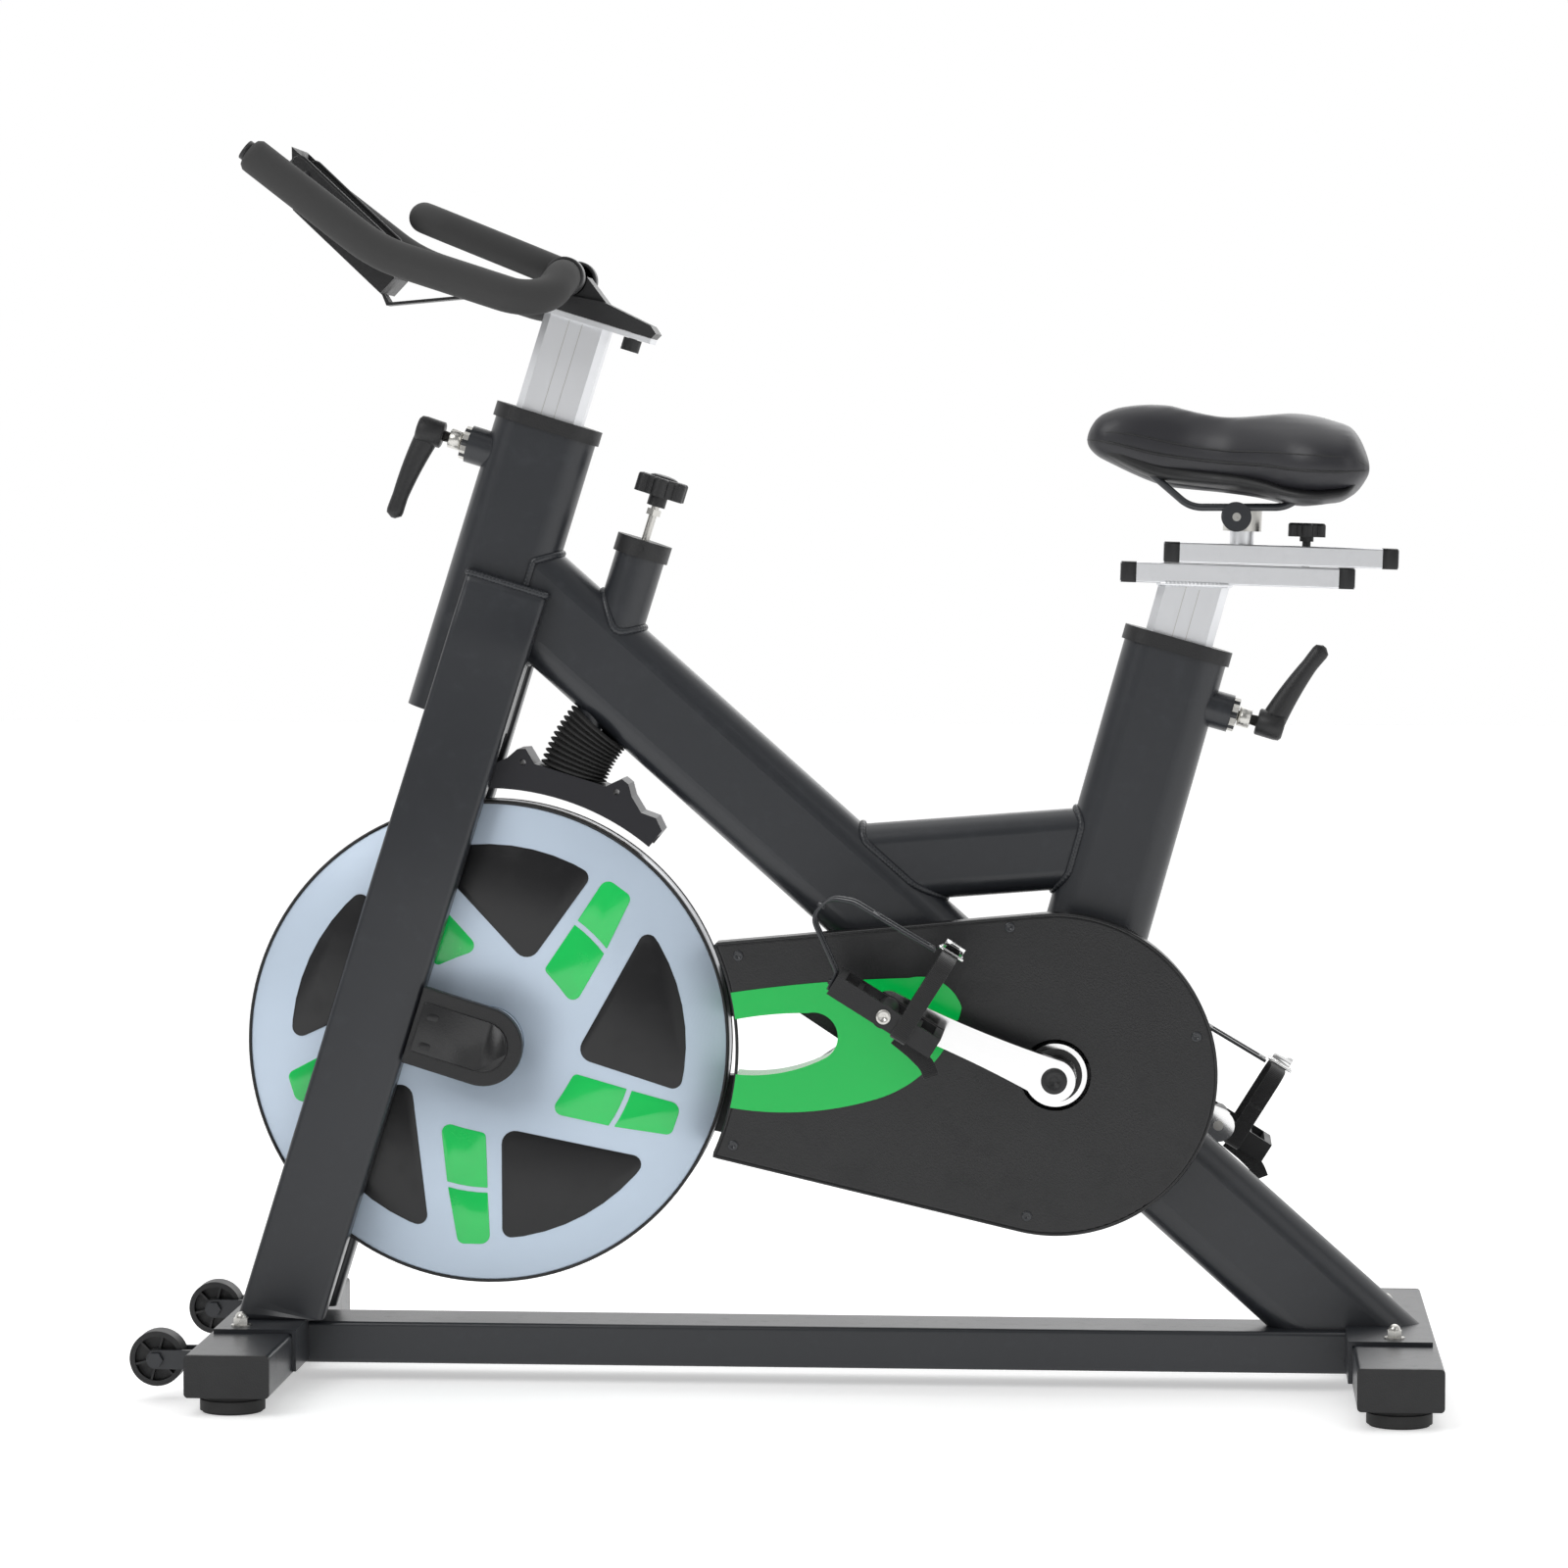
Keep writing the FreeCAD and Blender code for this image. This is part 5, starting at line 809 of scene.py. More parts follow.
class BIKE_OT_welds(Operator):
    """Rippled weld beads where the frame's tubes meet."""

    bl_idname = "bike.welds"
    bl_label = "Weld Beads"

    def execute(self, context):
        sizes = context.scene.bike_sizes
        main = oval(TUBE_DEPTH, TUBE_WIDTH)
        link = oval(0.077, 0.040)
        turn = np.linspace(0, 2 * np.pi, 80, endpoint=False)
        brake_axis = WHEEL + HEAD_UP * 0.45
        loops = {
            "beam_to_head": where_it_lands(main, CRANK, -BEAM_RUN, BEAM_UP, HEAD_TOP, HEAD_BACK,
                                           TUBE_DEPTH, TUBE_WIDTH),
            "seat_to_beam": where_it_lands(main, SEAT_TOP, -SEAT_UP, SEAT_BACK, CRANK, BEAM_UP,
                                           TUBE_DEPTH, TUBE_WIDTH),
            "link_to_beam": where_it_lands(link, LINK_START, LINK_RUN, LINK_UP, CRANK, BEAM_UP,
                                           TUBE_DEPTH, TUBE_WIDTH),
            "link_to_seat": where_it_lands(link, LINK_START, -LINK_RUN, LINK_UP, SEAT_TOP, -SEAT_BACK,
                                           TUBE_DEPTH, TUBE_WIDTH),
            "brake_to_beam": where_it_lands(0.024 * np.stack([np.cos(turn), np.sin(turn)], axis=1),
                                            brake_axis, -HEAD_UP, HEAD_BACK, CRANK, BEAM_UP,
                                            TUBE_DEPTH, TUBE_WIDTH),
        }
        for name, points in loops.items():
            made = put_rings("weld_" + name, bead(points, sizes.weld_radius, sizes.weld_ripple),
                             closed=True)
            finish_piece(made, "powder_coat", "frame")
        top = HEAD_TOP + HEAD_BACK * 0.012 - HEAD_UP * 0.1495
        for side, label in SIDES:
            corners = np.array([top + HEAD_BACK * back + ACROSS * side * y
                                for back, y in ((-0.039, 0.0262), (0.039, 0.0262), (0.039, 0.0420),
                                                (-0.039, 0.0420))])
            made = put_rings("weld_fork_" + label, bead(corners, 0.0028, sizes.weld_ripple),
                             closed=True)
            finish_piece(made, "powder_coat", "frame")
        rise = [0.0, 0.0, 0.0505]
        for name, x in (("front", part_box("stabilisers")[0][0] + 0.080),
                        ("rear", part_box("stabilisers")[1][0] - 0.080)):
            for side in (-1, 1):
                start = np.array([x, side * 0.0405, 0.0185])
                path = along_line([start, start + np.array(rise) * 0.75], [], 0.0012)
                size = 0.0028 + 0.0006 * np.abs(np.sin(np.arange(len(path)) * 1.05))
                made = put_rings("weld_rail_%s_%s" % (name, "left" if side < 0 else "right"),
                                 swept(path, round_outline(size, 10)))
                finish_piece(made, "powder_coat", "frame")
        return {"FINISHED"}


# ---------------------------------------------------------------------------------------------------
# Saddle
# ---------------------------------------------------------------------------------------------------
def smooth_through(x, stations, numbers):
    """Smooth curve through a few stations: cubic pieces with centred slopes at each station."""
    stations, numbers = np.asarray(stations, float), np.asarray(numbers, float)
    slopes = np.gradient(numbers, stations)
    spot = np.clip(np.searchsorted(stations, x, side="right") - 1, 0, len(stations) - 2)
    span = stations[spot + 1] - stations[spot]
    part = (x - stations[spot]) / span
    first = ((1 + 2 * part) * (1 - part) ** 2 * numbers[spot]
             + part * (1 - part) ** 2 * span * slopes[spot])
    last = (part ** 2 * (3 - 2 * part) * numbers[spot + 1]
            - part ** 2 * (1 - part) * span * slopes[spot + 1])
    return first + last


# Saddle sections from nose to tail: place along the bike, top, underside and half width.
SADDLE_SECTIONS = (
    (0.2770, 0.9110, 0.9030, 0.0100),
    (0.2860, 0.9270, 0.8930, 0.0230),
    (0.3000, 0.9355, 0.8860, 0.0300),
    (0.3220, 0.9393, 0.8760, 0.0340),
    (0.3450, 0.9375, 0.8680, 0.0355),
    (0.3800, 0.9295, 0.8630, 0.0390),
    (0.4100, 0.9245, 0.8600, 0.0480),
    (0.4450, 0.9260, 0.8550, 0.0730),
    (0.4800, 0.9286, 0.8470, 0.0960),
    (0.5150, 0.9255, 0.8460, 0.1010),
    (0.5400, 0.9130, 0.8540, 0.0930),
    (0.5520, 0.8850, 0.8700, 0.0780),
)
SADDLE_X, SADDLE_TOP, SADDLE_LOW, SADDLE_HALF = zip(*SADDLE_SECTIONS)


def saddle_rings(widen=1.0, rows=110, columns=96, lift=0.0, high=None):
    """Saddle skin: each section is a superellipse, fuller above its widest line than below it."""
    spread = (1 - np.cos(np.linspace(0, np.pi, rows))) / 2
    x = SADDLE_X[0] + (SADDLE_X[-1] - SADDLE_X[0]) * spread
    top = smooth_through(x, SADDLE_X, SADDLE_TOP)
    low = smooth_through(x, SADDLE_X, SADDLE_LOW) + lift
    half = smooth_through(x, SADDLE_X, SADDLE_HALF) * widen
    if high is not None:
        top = np.minimum(top, low + high)
    middle = low + (top - low) * 0.40
    turn = np.linspace(0, 2 * np.pi, columns, endpoint=False)
    cosine, sine = np.cos(turn), np.sin(turn)
    across = np.sign(cosine) * np.abs(cosine) ** 0.72
    rise = np.sign(sine) * np.abs(sine) ** 0.92
    height = np.where(sine > 0, (top - middle)[:, None], (middle - low)[:, None]) * rise
    dish = 0.0040 * np.exp(-(across / 0.30) ** 2) * np.clip(sine, 0, 1)
    dish = dish * np.clip((x - 0.36) / 0.08, 0, 1)[:, None]
    return np.stack([np.broadcast_to(x[:, None], height.shape), half[:, None] * across,
                     middle[:, None] + height - dish], axis=-1)


def settle_cushion(made, voxel, swell):
    """Blow a stuffed skin up with a short cloth run, and keep how far it moved under swell."""
    context = bpy.context
    context.view_layer.objects.active = made
    remesh = made.modifiers.new("even", "REMESH")
    remesh.mode, remesh.voxel_size = "VOXEL", voxel
    bpy.ops.object.modifier_apply(modifier=remesh.name)
    count = len(made.data.vertices)
    before = np.zeros(count * 3)
    made.data.vertices.foreach_get("co", before)
    before = before.reshape(-1, 3)
    cloth = made.modifiers.new("pad", "CLOTH")
    cloth.settings.use_pressure = True
    cloth.settings.uniform_pressure_force = 4.0
    cloth.settings.effector_weights.gravity = 0.0
    cloth.settings.tension_stiffness = cloth.settings.compression_stiffness = 25.0
    cloth.settings.bending_stiffness = 2.0
    cloth.settings.quality = 6
    cloth.point_cache.frame_start, cloth.point_cache.frame_end = 1, 20
    for number in range(1, 21):
        context.scene.frame_set(number)
    grown = made.evaluated_get(context.evaluated_depsgraph_get()).to_mesh()
    after = np.zeros(count * 3)
    grown.vertices.foreach_get("co", after)
    made.modifiers.remove(cloth)
    context.scene.frame_set(1)
    move = after.reshape(-1, 3) - before
    far = np.linalg.norm(move, axis=1, keepdims=True)
    move = move * np.minimum(1.0, swell / np.maximum(far, 1e-9))
    made.data.vertices.foreach_set("co", (before + move).ravel())
    smooth = made.modifiers.new("smooth", "SMOOTH")
    smooth.factor, smooth.iterations = 0.5, 8
    bpy.ops.object.modifier_apply(modifier=smooth.name)
    made.data.polygons.foreach_set("use_smooth", np.full(len(made.data.polygons), True))
    finer = made.modifiers.new("finer", "SUBSURF")
    finer.levels = finer.render_levels = 1
    return made


class BIKE_OT_saddle(Operator):
    """Padded saddle with its seams, and the moulded pan under it."""

    bl_idname = "bike.saddle"
    bl_label = "Saddle"

    def execute(self, context):
        swell = context.scene.bike_sizes.saddle_panel
        skin = saddle_rings(widen=0.965)
        skin[..., 2] = 0.8930 + (skin[..., 2] - 0.8930) * 0.955
        skin[..., 0] = 0.4145 + (skin[..., 0] - 0.4145) * 0.985
        made = settle_cushion(put_rings("saddle_pad", skin), 0.0045, swell)
        finish_piece(made, "saddle_vinyl", "saddle", "saddle")
        tree = self.surface(made)
        self.seam(tree, "saddle_seam_upper", 0.23, (0.04, 0.985), 0.0007)
        self.seam(tree, "saddle_seam_lower", -0.10, (0.02, 0.99), 0.0011)
        pan = saddle_rings(widen=0.86, rows=60, columns=64, lift=-0.0015, high=0.020)
        pan[..., 0] = 0.4145 + (pan[..., 0] - 0.4145) * 0.93
        finish_piece(put_rings("saddle_pan", pan), "moulding", "saddle")
        return {"FINISHED"}

    def surface(self, made):
        """Ray target of the settled skin."""
        return BVHTree.FromObject(made, bpy.context.evaluated_depsgraph_get())

    def seam(self, tree, name, turn, reach, radius):
        """Stitched ridge round the saddle: a line of the skin's own grid, dropped onto the skin."""
        rings = saddle_rings(rows=160, columns=240)
        columns = rings.shape[1]
        column = int(round(turn / (2 * np.pi) * columns)) % columns
        mirror = (columns // 2 - column) % columns
        first, last = int(reach[0] * 160), int(reach[1] * 160)
        line = np.concatenate([rings[first:last, column], rings[first:last, mirror][::-1]])
        dropped = np.array([tree.find_nearest(Vector(point))[0] for point in line])
        dropped = even_loop(dropped, 0.004)
        for _ in range(6):
            dropped = (np.roll(dropped, 1, axis=0) + 2 * dropped + np.roll(dropped, -1, axis=0)) / 4
        made = put_rings(name, bead(dropped, radius, radius * 0.35, 0.0011, 0.0030), closed=True)
        finish_piece(made, "moulding", "saddle", slot="saddle_vinyl")


# ---------------------------------------------------------------------------------------------------
# Seat slide and posts
# ---------------------------------------------------------------------------------------------------
SEAT_TIP = SEAT_TOP + 0.076 * SEAT_UP
BAR_HEIGHT, BAR_WIDTH, BAR_LENGTH, BAR_CAP = 0.019, 0.038, 0.222, 0.015


def on_line(point, direction, x):
    """Point of a line of the side view at a given X."""
    return point + direction * (x - point[0]) / direction[0]


LOWER_BAR = on_line(SEAT_TIP - 0.008 * SEAT_UP, SLIDE, 0.314)
UPPER_BAR = on_line(LOWER_BAR + 0.020 * SLIDE_UP, SLIDE, 0.355)


class BIKE_OT_slide(Operator):
    """Black end plugs of the slide bars, painted groove shade on the posts and the weld under the
    slide.
    """

    bl_idname = "bike.slide"
    bl_label = "Seat Slide"

    def execute(self, context):
        half = np.array([BAR_WIDTH / 2 + 0.0003, BAR_HEIGHT / 2 + 0.0003])
        corners = np.array([[-1, -1], [1, -1], [1, 1], [-1, 1]]) * half
        outline = rounded_corners(corners, 0.0022, 5)
        for name, bar, body in (("lower", LOWER_BAR, "seat_post"),
                                ("upper", UPPER_BAR, "saddle_slide")):
            centre = bar + SLIDE_UP * BAR_HEIGHT / 2
            plugs = [plate_rings(outline, centre + SLIDE * start, ACROSS, SLIDE_UP * turn, SLIDE * turn,
                                 BAR_CAP + 0.0003, 0.0012)
                     for start, turn in ((BAR_CAP, -1.0), (BAR_LENGTH - BAR_CAP, 1.0))]
            finish_piece(put_many("slide_plugs_" + name, plugs), "moulding", body)
        turn = np.linspace(0, 2 * np.pi, 90, endpoint=False)
        square = (np.abs(np.cos(turn)) ** 8 + np.abs(np.sin(turn)) ** 8) ** -0.125
        shape = np.stack([0.0190 * square * np.cos(turn), 0.0327 * square * np.sin(turn)], axis=1)
        points = SEAT_TOP + shape[:, :1] * ACROSS + shape[:, 1:] * SEAT_BACK
        gap = (LOWER_BAR - 0.0004 * SLIDE_UP - points) @ SLIDE_UP
        loop = points + (gap / np.dot(SEAT_UP, SLIDE_UP))[:, None] * SEAT_UP
        finish_piece(put_rings("weld_slide", bead(loop, 0.0020, 0.0008), closed=True),
                     "brushed_aluminium", "seat_post")
        # The posts' grooves are drawn as thin proud ridges of darker zinc: painted shade standing in
        # for the shade inside each groove.
        for name, top, up, back, body, reach in (
                ("handlebar", HEAD_TOP, HEAD_UP, HEAD_BACK, "handlebar_post", 0.108),
                ("seat", SEAT_TOP, SEAT_UP, SEAT_BACK, "seat_post", 0.064)):
            lines = []
            strip = np.array([[-0.0003, -0.0003], [0.0003, -0.0003], [0.0003, 0.0003],
                              [-0.0003, 0.0003]])
            for side in (-1, 1):
                for shift in (-0.0070, 0.0060):
                    start = top + back * shift + ACROSS * side * 0.0188
                    lines.append(swept(np.array([start - up * 0.09, start + up * reach]), strip))
            finish_piece(put_many("post_lines_" + name, lines, smooth=False), "zinc_plate", body)
        return {"FINISHED"}


# ---------------------------------------------------------------------------------------------------
# Side cover, crank ends and axle covers
# ---------------------------------------------------------------------------------------------------
def touch_angle(point, centre, radius, side):
    """Angle, from the centre, at which a line from the point touches the circle."""
    gap = point - centre
    return math.degrees(math.atan2(gap[1], gap[0])
                        + side * math.acos(radius / np.linalg.norm(gap)))


SCREW_HEAD = [(-0.0010, 0.0050), (0.0006, 0.0050), (0.0013, 0.0042), (0.0013, 0.0022),
              (0.0004, 0.0018), (0.0004, 0.0001)]


class BIKE_OT_cover_trim(Operator):
    """Rolled edge and screws of the side cover, crank caps and seal, and axle cover panels."""

    bl_idname = "bike.cover_trim"
    bl_label = "Cover Trim"

    def execute(self, context):
        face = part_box("side_cover")[0][1]
        radius, front = 0.152, 0.244
        top, low = in_side_view(front, np.array([24.1, -24.9]))
        hub = CRANK[[0, 2]]
        first = touch_angle(top, hub, radius, -1)
        last = touch_angle(low, hub, radius, 1)
        round_ = in_side_view(radius, np.linspace(first, last, 90), CRANK)
        concave = in_side_view(front, np.linspace(-24.9, 24.1, 40))
        outline = np.concatenate([round_, concave])
        path = np.stack([outline[:, 0], np.full(len(outline), face + 0.0010), outline[:, 1]], axis=1)
        edge = put_rings("cover_edge", bead(path, 0.0016, 0.0, 0.004), closed=True)
        finish_piece(edge, "cover_moulding", "frame")
        spots = ((-0.0466, 0.416), (0.2113, 0.4448), (0.388, 0.342), (0.228, 0.170), (-0.0516, 0.235))
        screws = [spun(SCREW_HEAD, [x, face, z], -ACROSS, 20) for x, z in spots]
        finish_piece(put_many("cover_screws", screws), "black_steel", "frame")
        cap = [(-0.0010, 0.0124), (0.0016, 0.0124), (0.0026, 0.0114), (0.0026, 0.0050),
               (0.0012, 0.0044), (0.0012, 0.0001)]
        left_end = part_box("crank_spindle")[0][1]
        outer = min(left_end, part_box("left_crank_arm")[0][1])
        caps = [spun(cap, CRANK + ACROSS * side * -outer, ACROSS * side, 32) for side in (-1, 1)]
        finish_piece(put_many("crank_caps", caps), "moulding", "cranks")
        seal_at = CRANK + ACROSS * (face - 0.0010)
        seal = [(0.0, 0.0200), (0.0, 0.0255), (0.0009, 0.0250), (0.0009, 0.0205)]
        finish_piece(put_rings("crank_seal", spun(seal, seal_at, -ACROSS, 64), closed=True),
                     "rubber", "frame")
        self.axle_panels()
        self.pedal_ends()
        return {"FINISHED"}

    def axle_panels(self):
        """Raised D-shaped panel on each axle cover, with two black plates of painted shade near the
        fork leg for its slots.
        """
        turn = np.linspace(-90, 90, 15)
        nose = 0.0245 * np.stack([np.cos(np.radians(turn)), np.sin(np.radians(turn))], axis=1)
        tail = np.array([[-0.0655, 0.0245], [-0.0655, -0.0245]])
        outline = rounded_corners(np.concatenate([nose, tail]), [0.0005] * 15 + [0.003] * 2, 4)
        slot = rounded_corners([[-0.0590, -0.0035], [-0.0475, -0.0035], [-0.0475, 0.0035],
                                [-0.0590, 0.0035]], 0.0030, 5)
        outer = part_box("axle_covers")[1][1]
        panels, slots = [], []
        for side in (-1, 1):
            base = WHEEL + ACROSS * side * (outer - 0.0005)
            panels.append(plate_rings(outline, base, HEAD_BACK, HEAD_UP, ACROSS * side, 0.0022, 0.0008))
            # Each slot is a thin black plate of painted shade, standing proud where the real cover has
            # an opening.
            for rise in (0.0125, -0.0165):
                spot = base + HEAD_UP * rise + ACROSS * side * 0.0016
                slots.append(plate_rings(slot, spot, HEAD_BACK, HEAD_UP, ACROSS * side, 0.0008, 0.0002))
        finish_piece(put_many("axle_panels", panels), "cover_moulding", "frame")
        finish_piece(put_many("axle_slot_shade", slots), "print_black_and_painted_shade", "frame")

    def pedal_ends(self):
        """Bright spindle caps in the pedals' outer ends and in the cranks' eyes."""
        cap = [(-0.0010, 0.0070), (0.0010, 0.0070), (0.0016, 0.0062), (0.0016, 0.0030),
               (0.0006, 0.0026), (0.0006, 0.0001)]
        for side, label in SIDES:
            eye = place_of(label + "_pedal_spin") * [1, 0, 1]
            low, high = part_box(label + "_pedal")
            outer = high[1] if side > 0 else -low[1]
            made = put_many("spindle_cap_" + label, [spun(cap, eye + ACROSS * side * outer,
                                                          ACROSS * side, 24)])
            finish_piece(made, "zinc_plate", label + "_pedal")


# ---------------------------------------------------------------------------------------------------
# Toe clips and straps
# ---------------------------------------------------------------------------------------------------
PEDAL_RUN = np.array([math.cos(math.radians(32)), 0.0, -math.sin(math.radians(32))])
PEDAL_UP = np.array([math.sin(math.radians(32)), 0.0, math.cos(math.radians(32))])
STRAP_BACK = 0.022


def flat_outline(wide, thick, count=3):
    """Rounded strip outline as (thickness, width)."""
    corners = np.array([[-1, -1], [1, -1], [1, 1], [-1, 1]]) * [thick / 2, wide / 2]
    return rounded_corners(corners, thick * 0.42, count)


class BIKE_OT_toe_cages(Operator):
    """Sprung toe clips, woven straps with their tails, and bright buckles."""

    bl_idname = "bike.toe_cages"
    bl_label = "Toe Cages"

    def execute(self, context):
        for side, label in SIDES:
            eye = place_of(label + "_pedal_spin") * [1, 0, 1]
            low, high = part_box(label + "_pedal")
            inner, outer = sorted((abs(low[1]), abs(high[1])))
            middle = side * (inner + outer) / 2
            self.clip(label, eye, middle)
            self.strap(label, eye, side, inner, outer, middle)
        return {"FINISHED"}

    def at(self, eye, back, rise, y):
        """Point beside a pedal: back along it, up from it and across the bike."""
        return eye + PEDAL_RUN * back + PEDAL_UP * rise + ACROSS * y

    def clip(self, label, eye, middle):
        """Two flat rails that leave the platform's front, arch over the toe and join at their ends."""
        outline = flat_outline(0.0085, 0.0030)
        spots = ((-0.057, -0.009), (-0.058, 0.008), (-0.106, 0.040), (-0.101, 0.064), (-0.080, 0.0725),
                 (0.0085, 0.0745))
        stacks = []
        for shift in (-0.0125, 0.0125):
            points = [self.at(eye, back, rise, middle + shift) for back, rise in spots]
            path = along_line(points, [0.006, 0.014, 0.016, 0.018], 0.0025)
            stacks.append(swept(path, outline))
        for back, rise in ((-0.0570, -0.003), (-0.1035, 0.0530), (-0.0560, 0.0730), (0.0045, 0.0744)):
            cross = np.array([self.at(eye, back, rise, middle - 0.014),
                              self.at(eye, back, rise, middle + 0.014)])
            stacks.append(swept(cross, flat_outline(0.0080, 0.0030), up=PEDAL_RUN))
        finish_piece(put_many("toe_clip_" + label, stacks), "black_steel", label + "_pedal")

    def strap(self, label, eye, side, inner, outer, middle):
        """Closed woven loop round the platform, its tail below and the buckle on top."""
        near, far = side * (inner - 0.0015), side * (outer + 0.0015)
        corners = [(near, -0.0114), (far, -0.0114), (far, 0.0762), (near, 0.0762)]
        ring = [self.at(eye, STRAP_BACK, rise, y) for y, rise in corners]
        begin = (ring[3] + ring[0]) / 2
        path = along_line([begin] + ring + [begin], [0.004, 0.004, 0.016, 0.016], 0.003)[:-1]
        outline = flat_outline(0.0158, 0.0022)
        rings = swept(path, outline, up=PEDAL_RUN, closed=True)
        walk = np.concatenate([[0], np.cumsum(np.linalg.norm(np.diff(path, axis=0), axis=1))])
        uv = np.stack([np.repeat(walk, len(outline)), np.tile(outline[:, 1], len(path))], axis=1)
        made = put_rings("toe_strap_" + label, rings, closed=True, uv=uv)
        finish_piece(made, "strap_webbing", label + "_pedal", label + "_toe_cage")
        spots = ((0.020, -0.0135), (0.040, -0.0160), (0.058, -0.0200), (0.068, -0.0275))
        line = along_line([self.at(eye, back, rise, middle + side * 0.006) for back, rise in spots],
                          [0.03, 0.02], 0.003)
        tail_rings = swept(line, flat_outline(0.0150, 0.0020) @ np.array([[0.0, 1.0], [1.0, 0.0]]))
        length_ = np.linspace(0, 0.05, len(line))
        tail_uv = np.stack([np.repeat(length_, tail_rings.shape[1]),
                            np.tile(outline[:, 1], len(line))], axis=1)
        finish_piece(put_rings("strap_tail_" + label, tail_rings, uv=tail_uv),
                     "strap_webbing", label + "_pedal")
        spot = middle - side * 0.010
        frame_ = [self.at(eye, STRAP_BACK + back, 0.0796, spot + y)
                  for back, y in ((-0.012, -0.013), (0.012, -0.013), (0.012, 0.013), (-0.012, 0.013))]
        bar = np.array([self.at(eye, STRAP_BACK - 0.012, 0.0800, spot),
                        self.at(eye, STRAP_BACK + 0.012, 0.0800, spot)])
        lever = swept(np.array([self.at(eye, STRAP_BACK, 0.0800, spot + side * 0.002),
                                self.at(eye, STRAP_BACK, 0.0890, spot + side * 0.011)]),
                      flat_outline(0.020, 0.0012), up=PEDAL_RUN)
        loop = bead(even_loop(np.array(frame_), 0.002), 0.0015, 0.0, 0.002)
        made = put_rings("buckle_frame_" + label, loop, closed=True)
        finish_piece(made, "chrome", label + "_pedal")
        bars = put_many("buckle_bar_" + label, [swept(bar, round_outline(0.0014, 12)), lever])
        finish_piece(bars, "chrome", label + "_pedal")


# ---------------------------------------------------------------------------------------------------
# Clamp levers, wheels and tray
# ---------------------------------------------------------------------------------------------------
class BIKE_OT_levers(Operator):
    """Curved handles of the two clamps, with their bright screws and nuts."""

    bl_idname = "bike.levers"
    bl_label = "Clamp Levers"

    def execute(self, context):
        for name, centre, out, angle, bend, body in (
                ("head", HEAD_TOP - HEAD_UP * 0.034, -HEAD_BACK, 240.0, 1.0, "head_clamp"),
                ("seat", SEAT_TOP - SEAT_UP * 0.042, SEAT_BACK, 62.0, -1.0, "seat_clamp")):
            hub = [(0.0930, 0.0112), (0.0940, 0.0128), (0.1120, 0.0132), (0.1170, 0.0126),
                   (0.1192, 0.0100), (0.1196, 0.0001)]
            reach = np.array([math.cos(math.radians(angle)), 0.0, math.sin(math.radians(angle))])
            across = np.array([-reach[2], 0.0, reach[0]]) * bend
            part = np.linspace(0, 1, 26)
            root = centre + out * 0.1065
            line = root + part[:, None] * 0.090 * reach + (0.010 * part ** 2)[:, None] * across
            wide = 0.0125 - 0.0062 * part + 0.0022 * np.clip(part - 0.75, 0, 1) * 4
            thick = 0.0082 - 0.0022 * part
            ends = np.sqrt(np.clip(1 - np.clip((part - 0.93) / 0.07, 0, 0.97) ** 2, 0, 1))
            turn = np.linspace(0, 2 * np.pi, 24, endpoint=False)
            outline = np.stack([(wide * ends)[:, None] * np.cos(turn),
                                (thick * ends)[:, None] * np.sin(turn)], axis=-1)
            handle = put_many("lever_" + name, [spun(hub, centre, out, 40), swept(line, outline)])
            finish_piece(handle, "moulding", body, name + "_clamp_lever")
            screw = [(0.0360, 0.0040), (0.0365, 0.0050), (0.0745, 0.0050), (0.0745, 0.0085),
                     (0.0752, 0.0094), (0.0858, 0.0094), (0.0865, 0.0085), (0.0865, 0.0052),
                     (0.0935, 0.0052), (0.0935, 0.0001)]
            finish_piece(put_many("lever_screw_" + name, [spun(screw, centre, out, 32)]),
                         "zinc_plate", body)
            nut = [(0.0668, 0.0148), (0.0674, 0.0160), (0.0728, 0.0160), (0.0734, 0.0148),
                   (0.0734, 0.0056), (0.0668, 0.0056)]
            made = put_rings("lever_nut_" + name, spun(nut, centre, out, 6), closed=True, smooth=False)
            finish_piece(made, "zinc_plate", "frame")
        return {"FINISHED"}


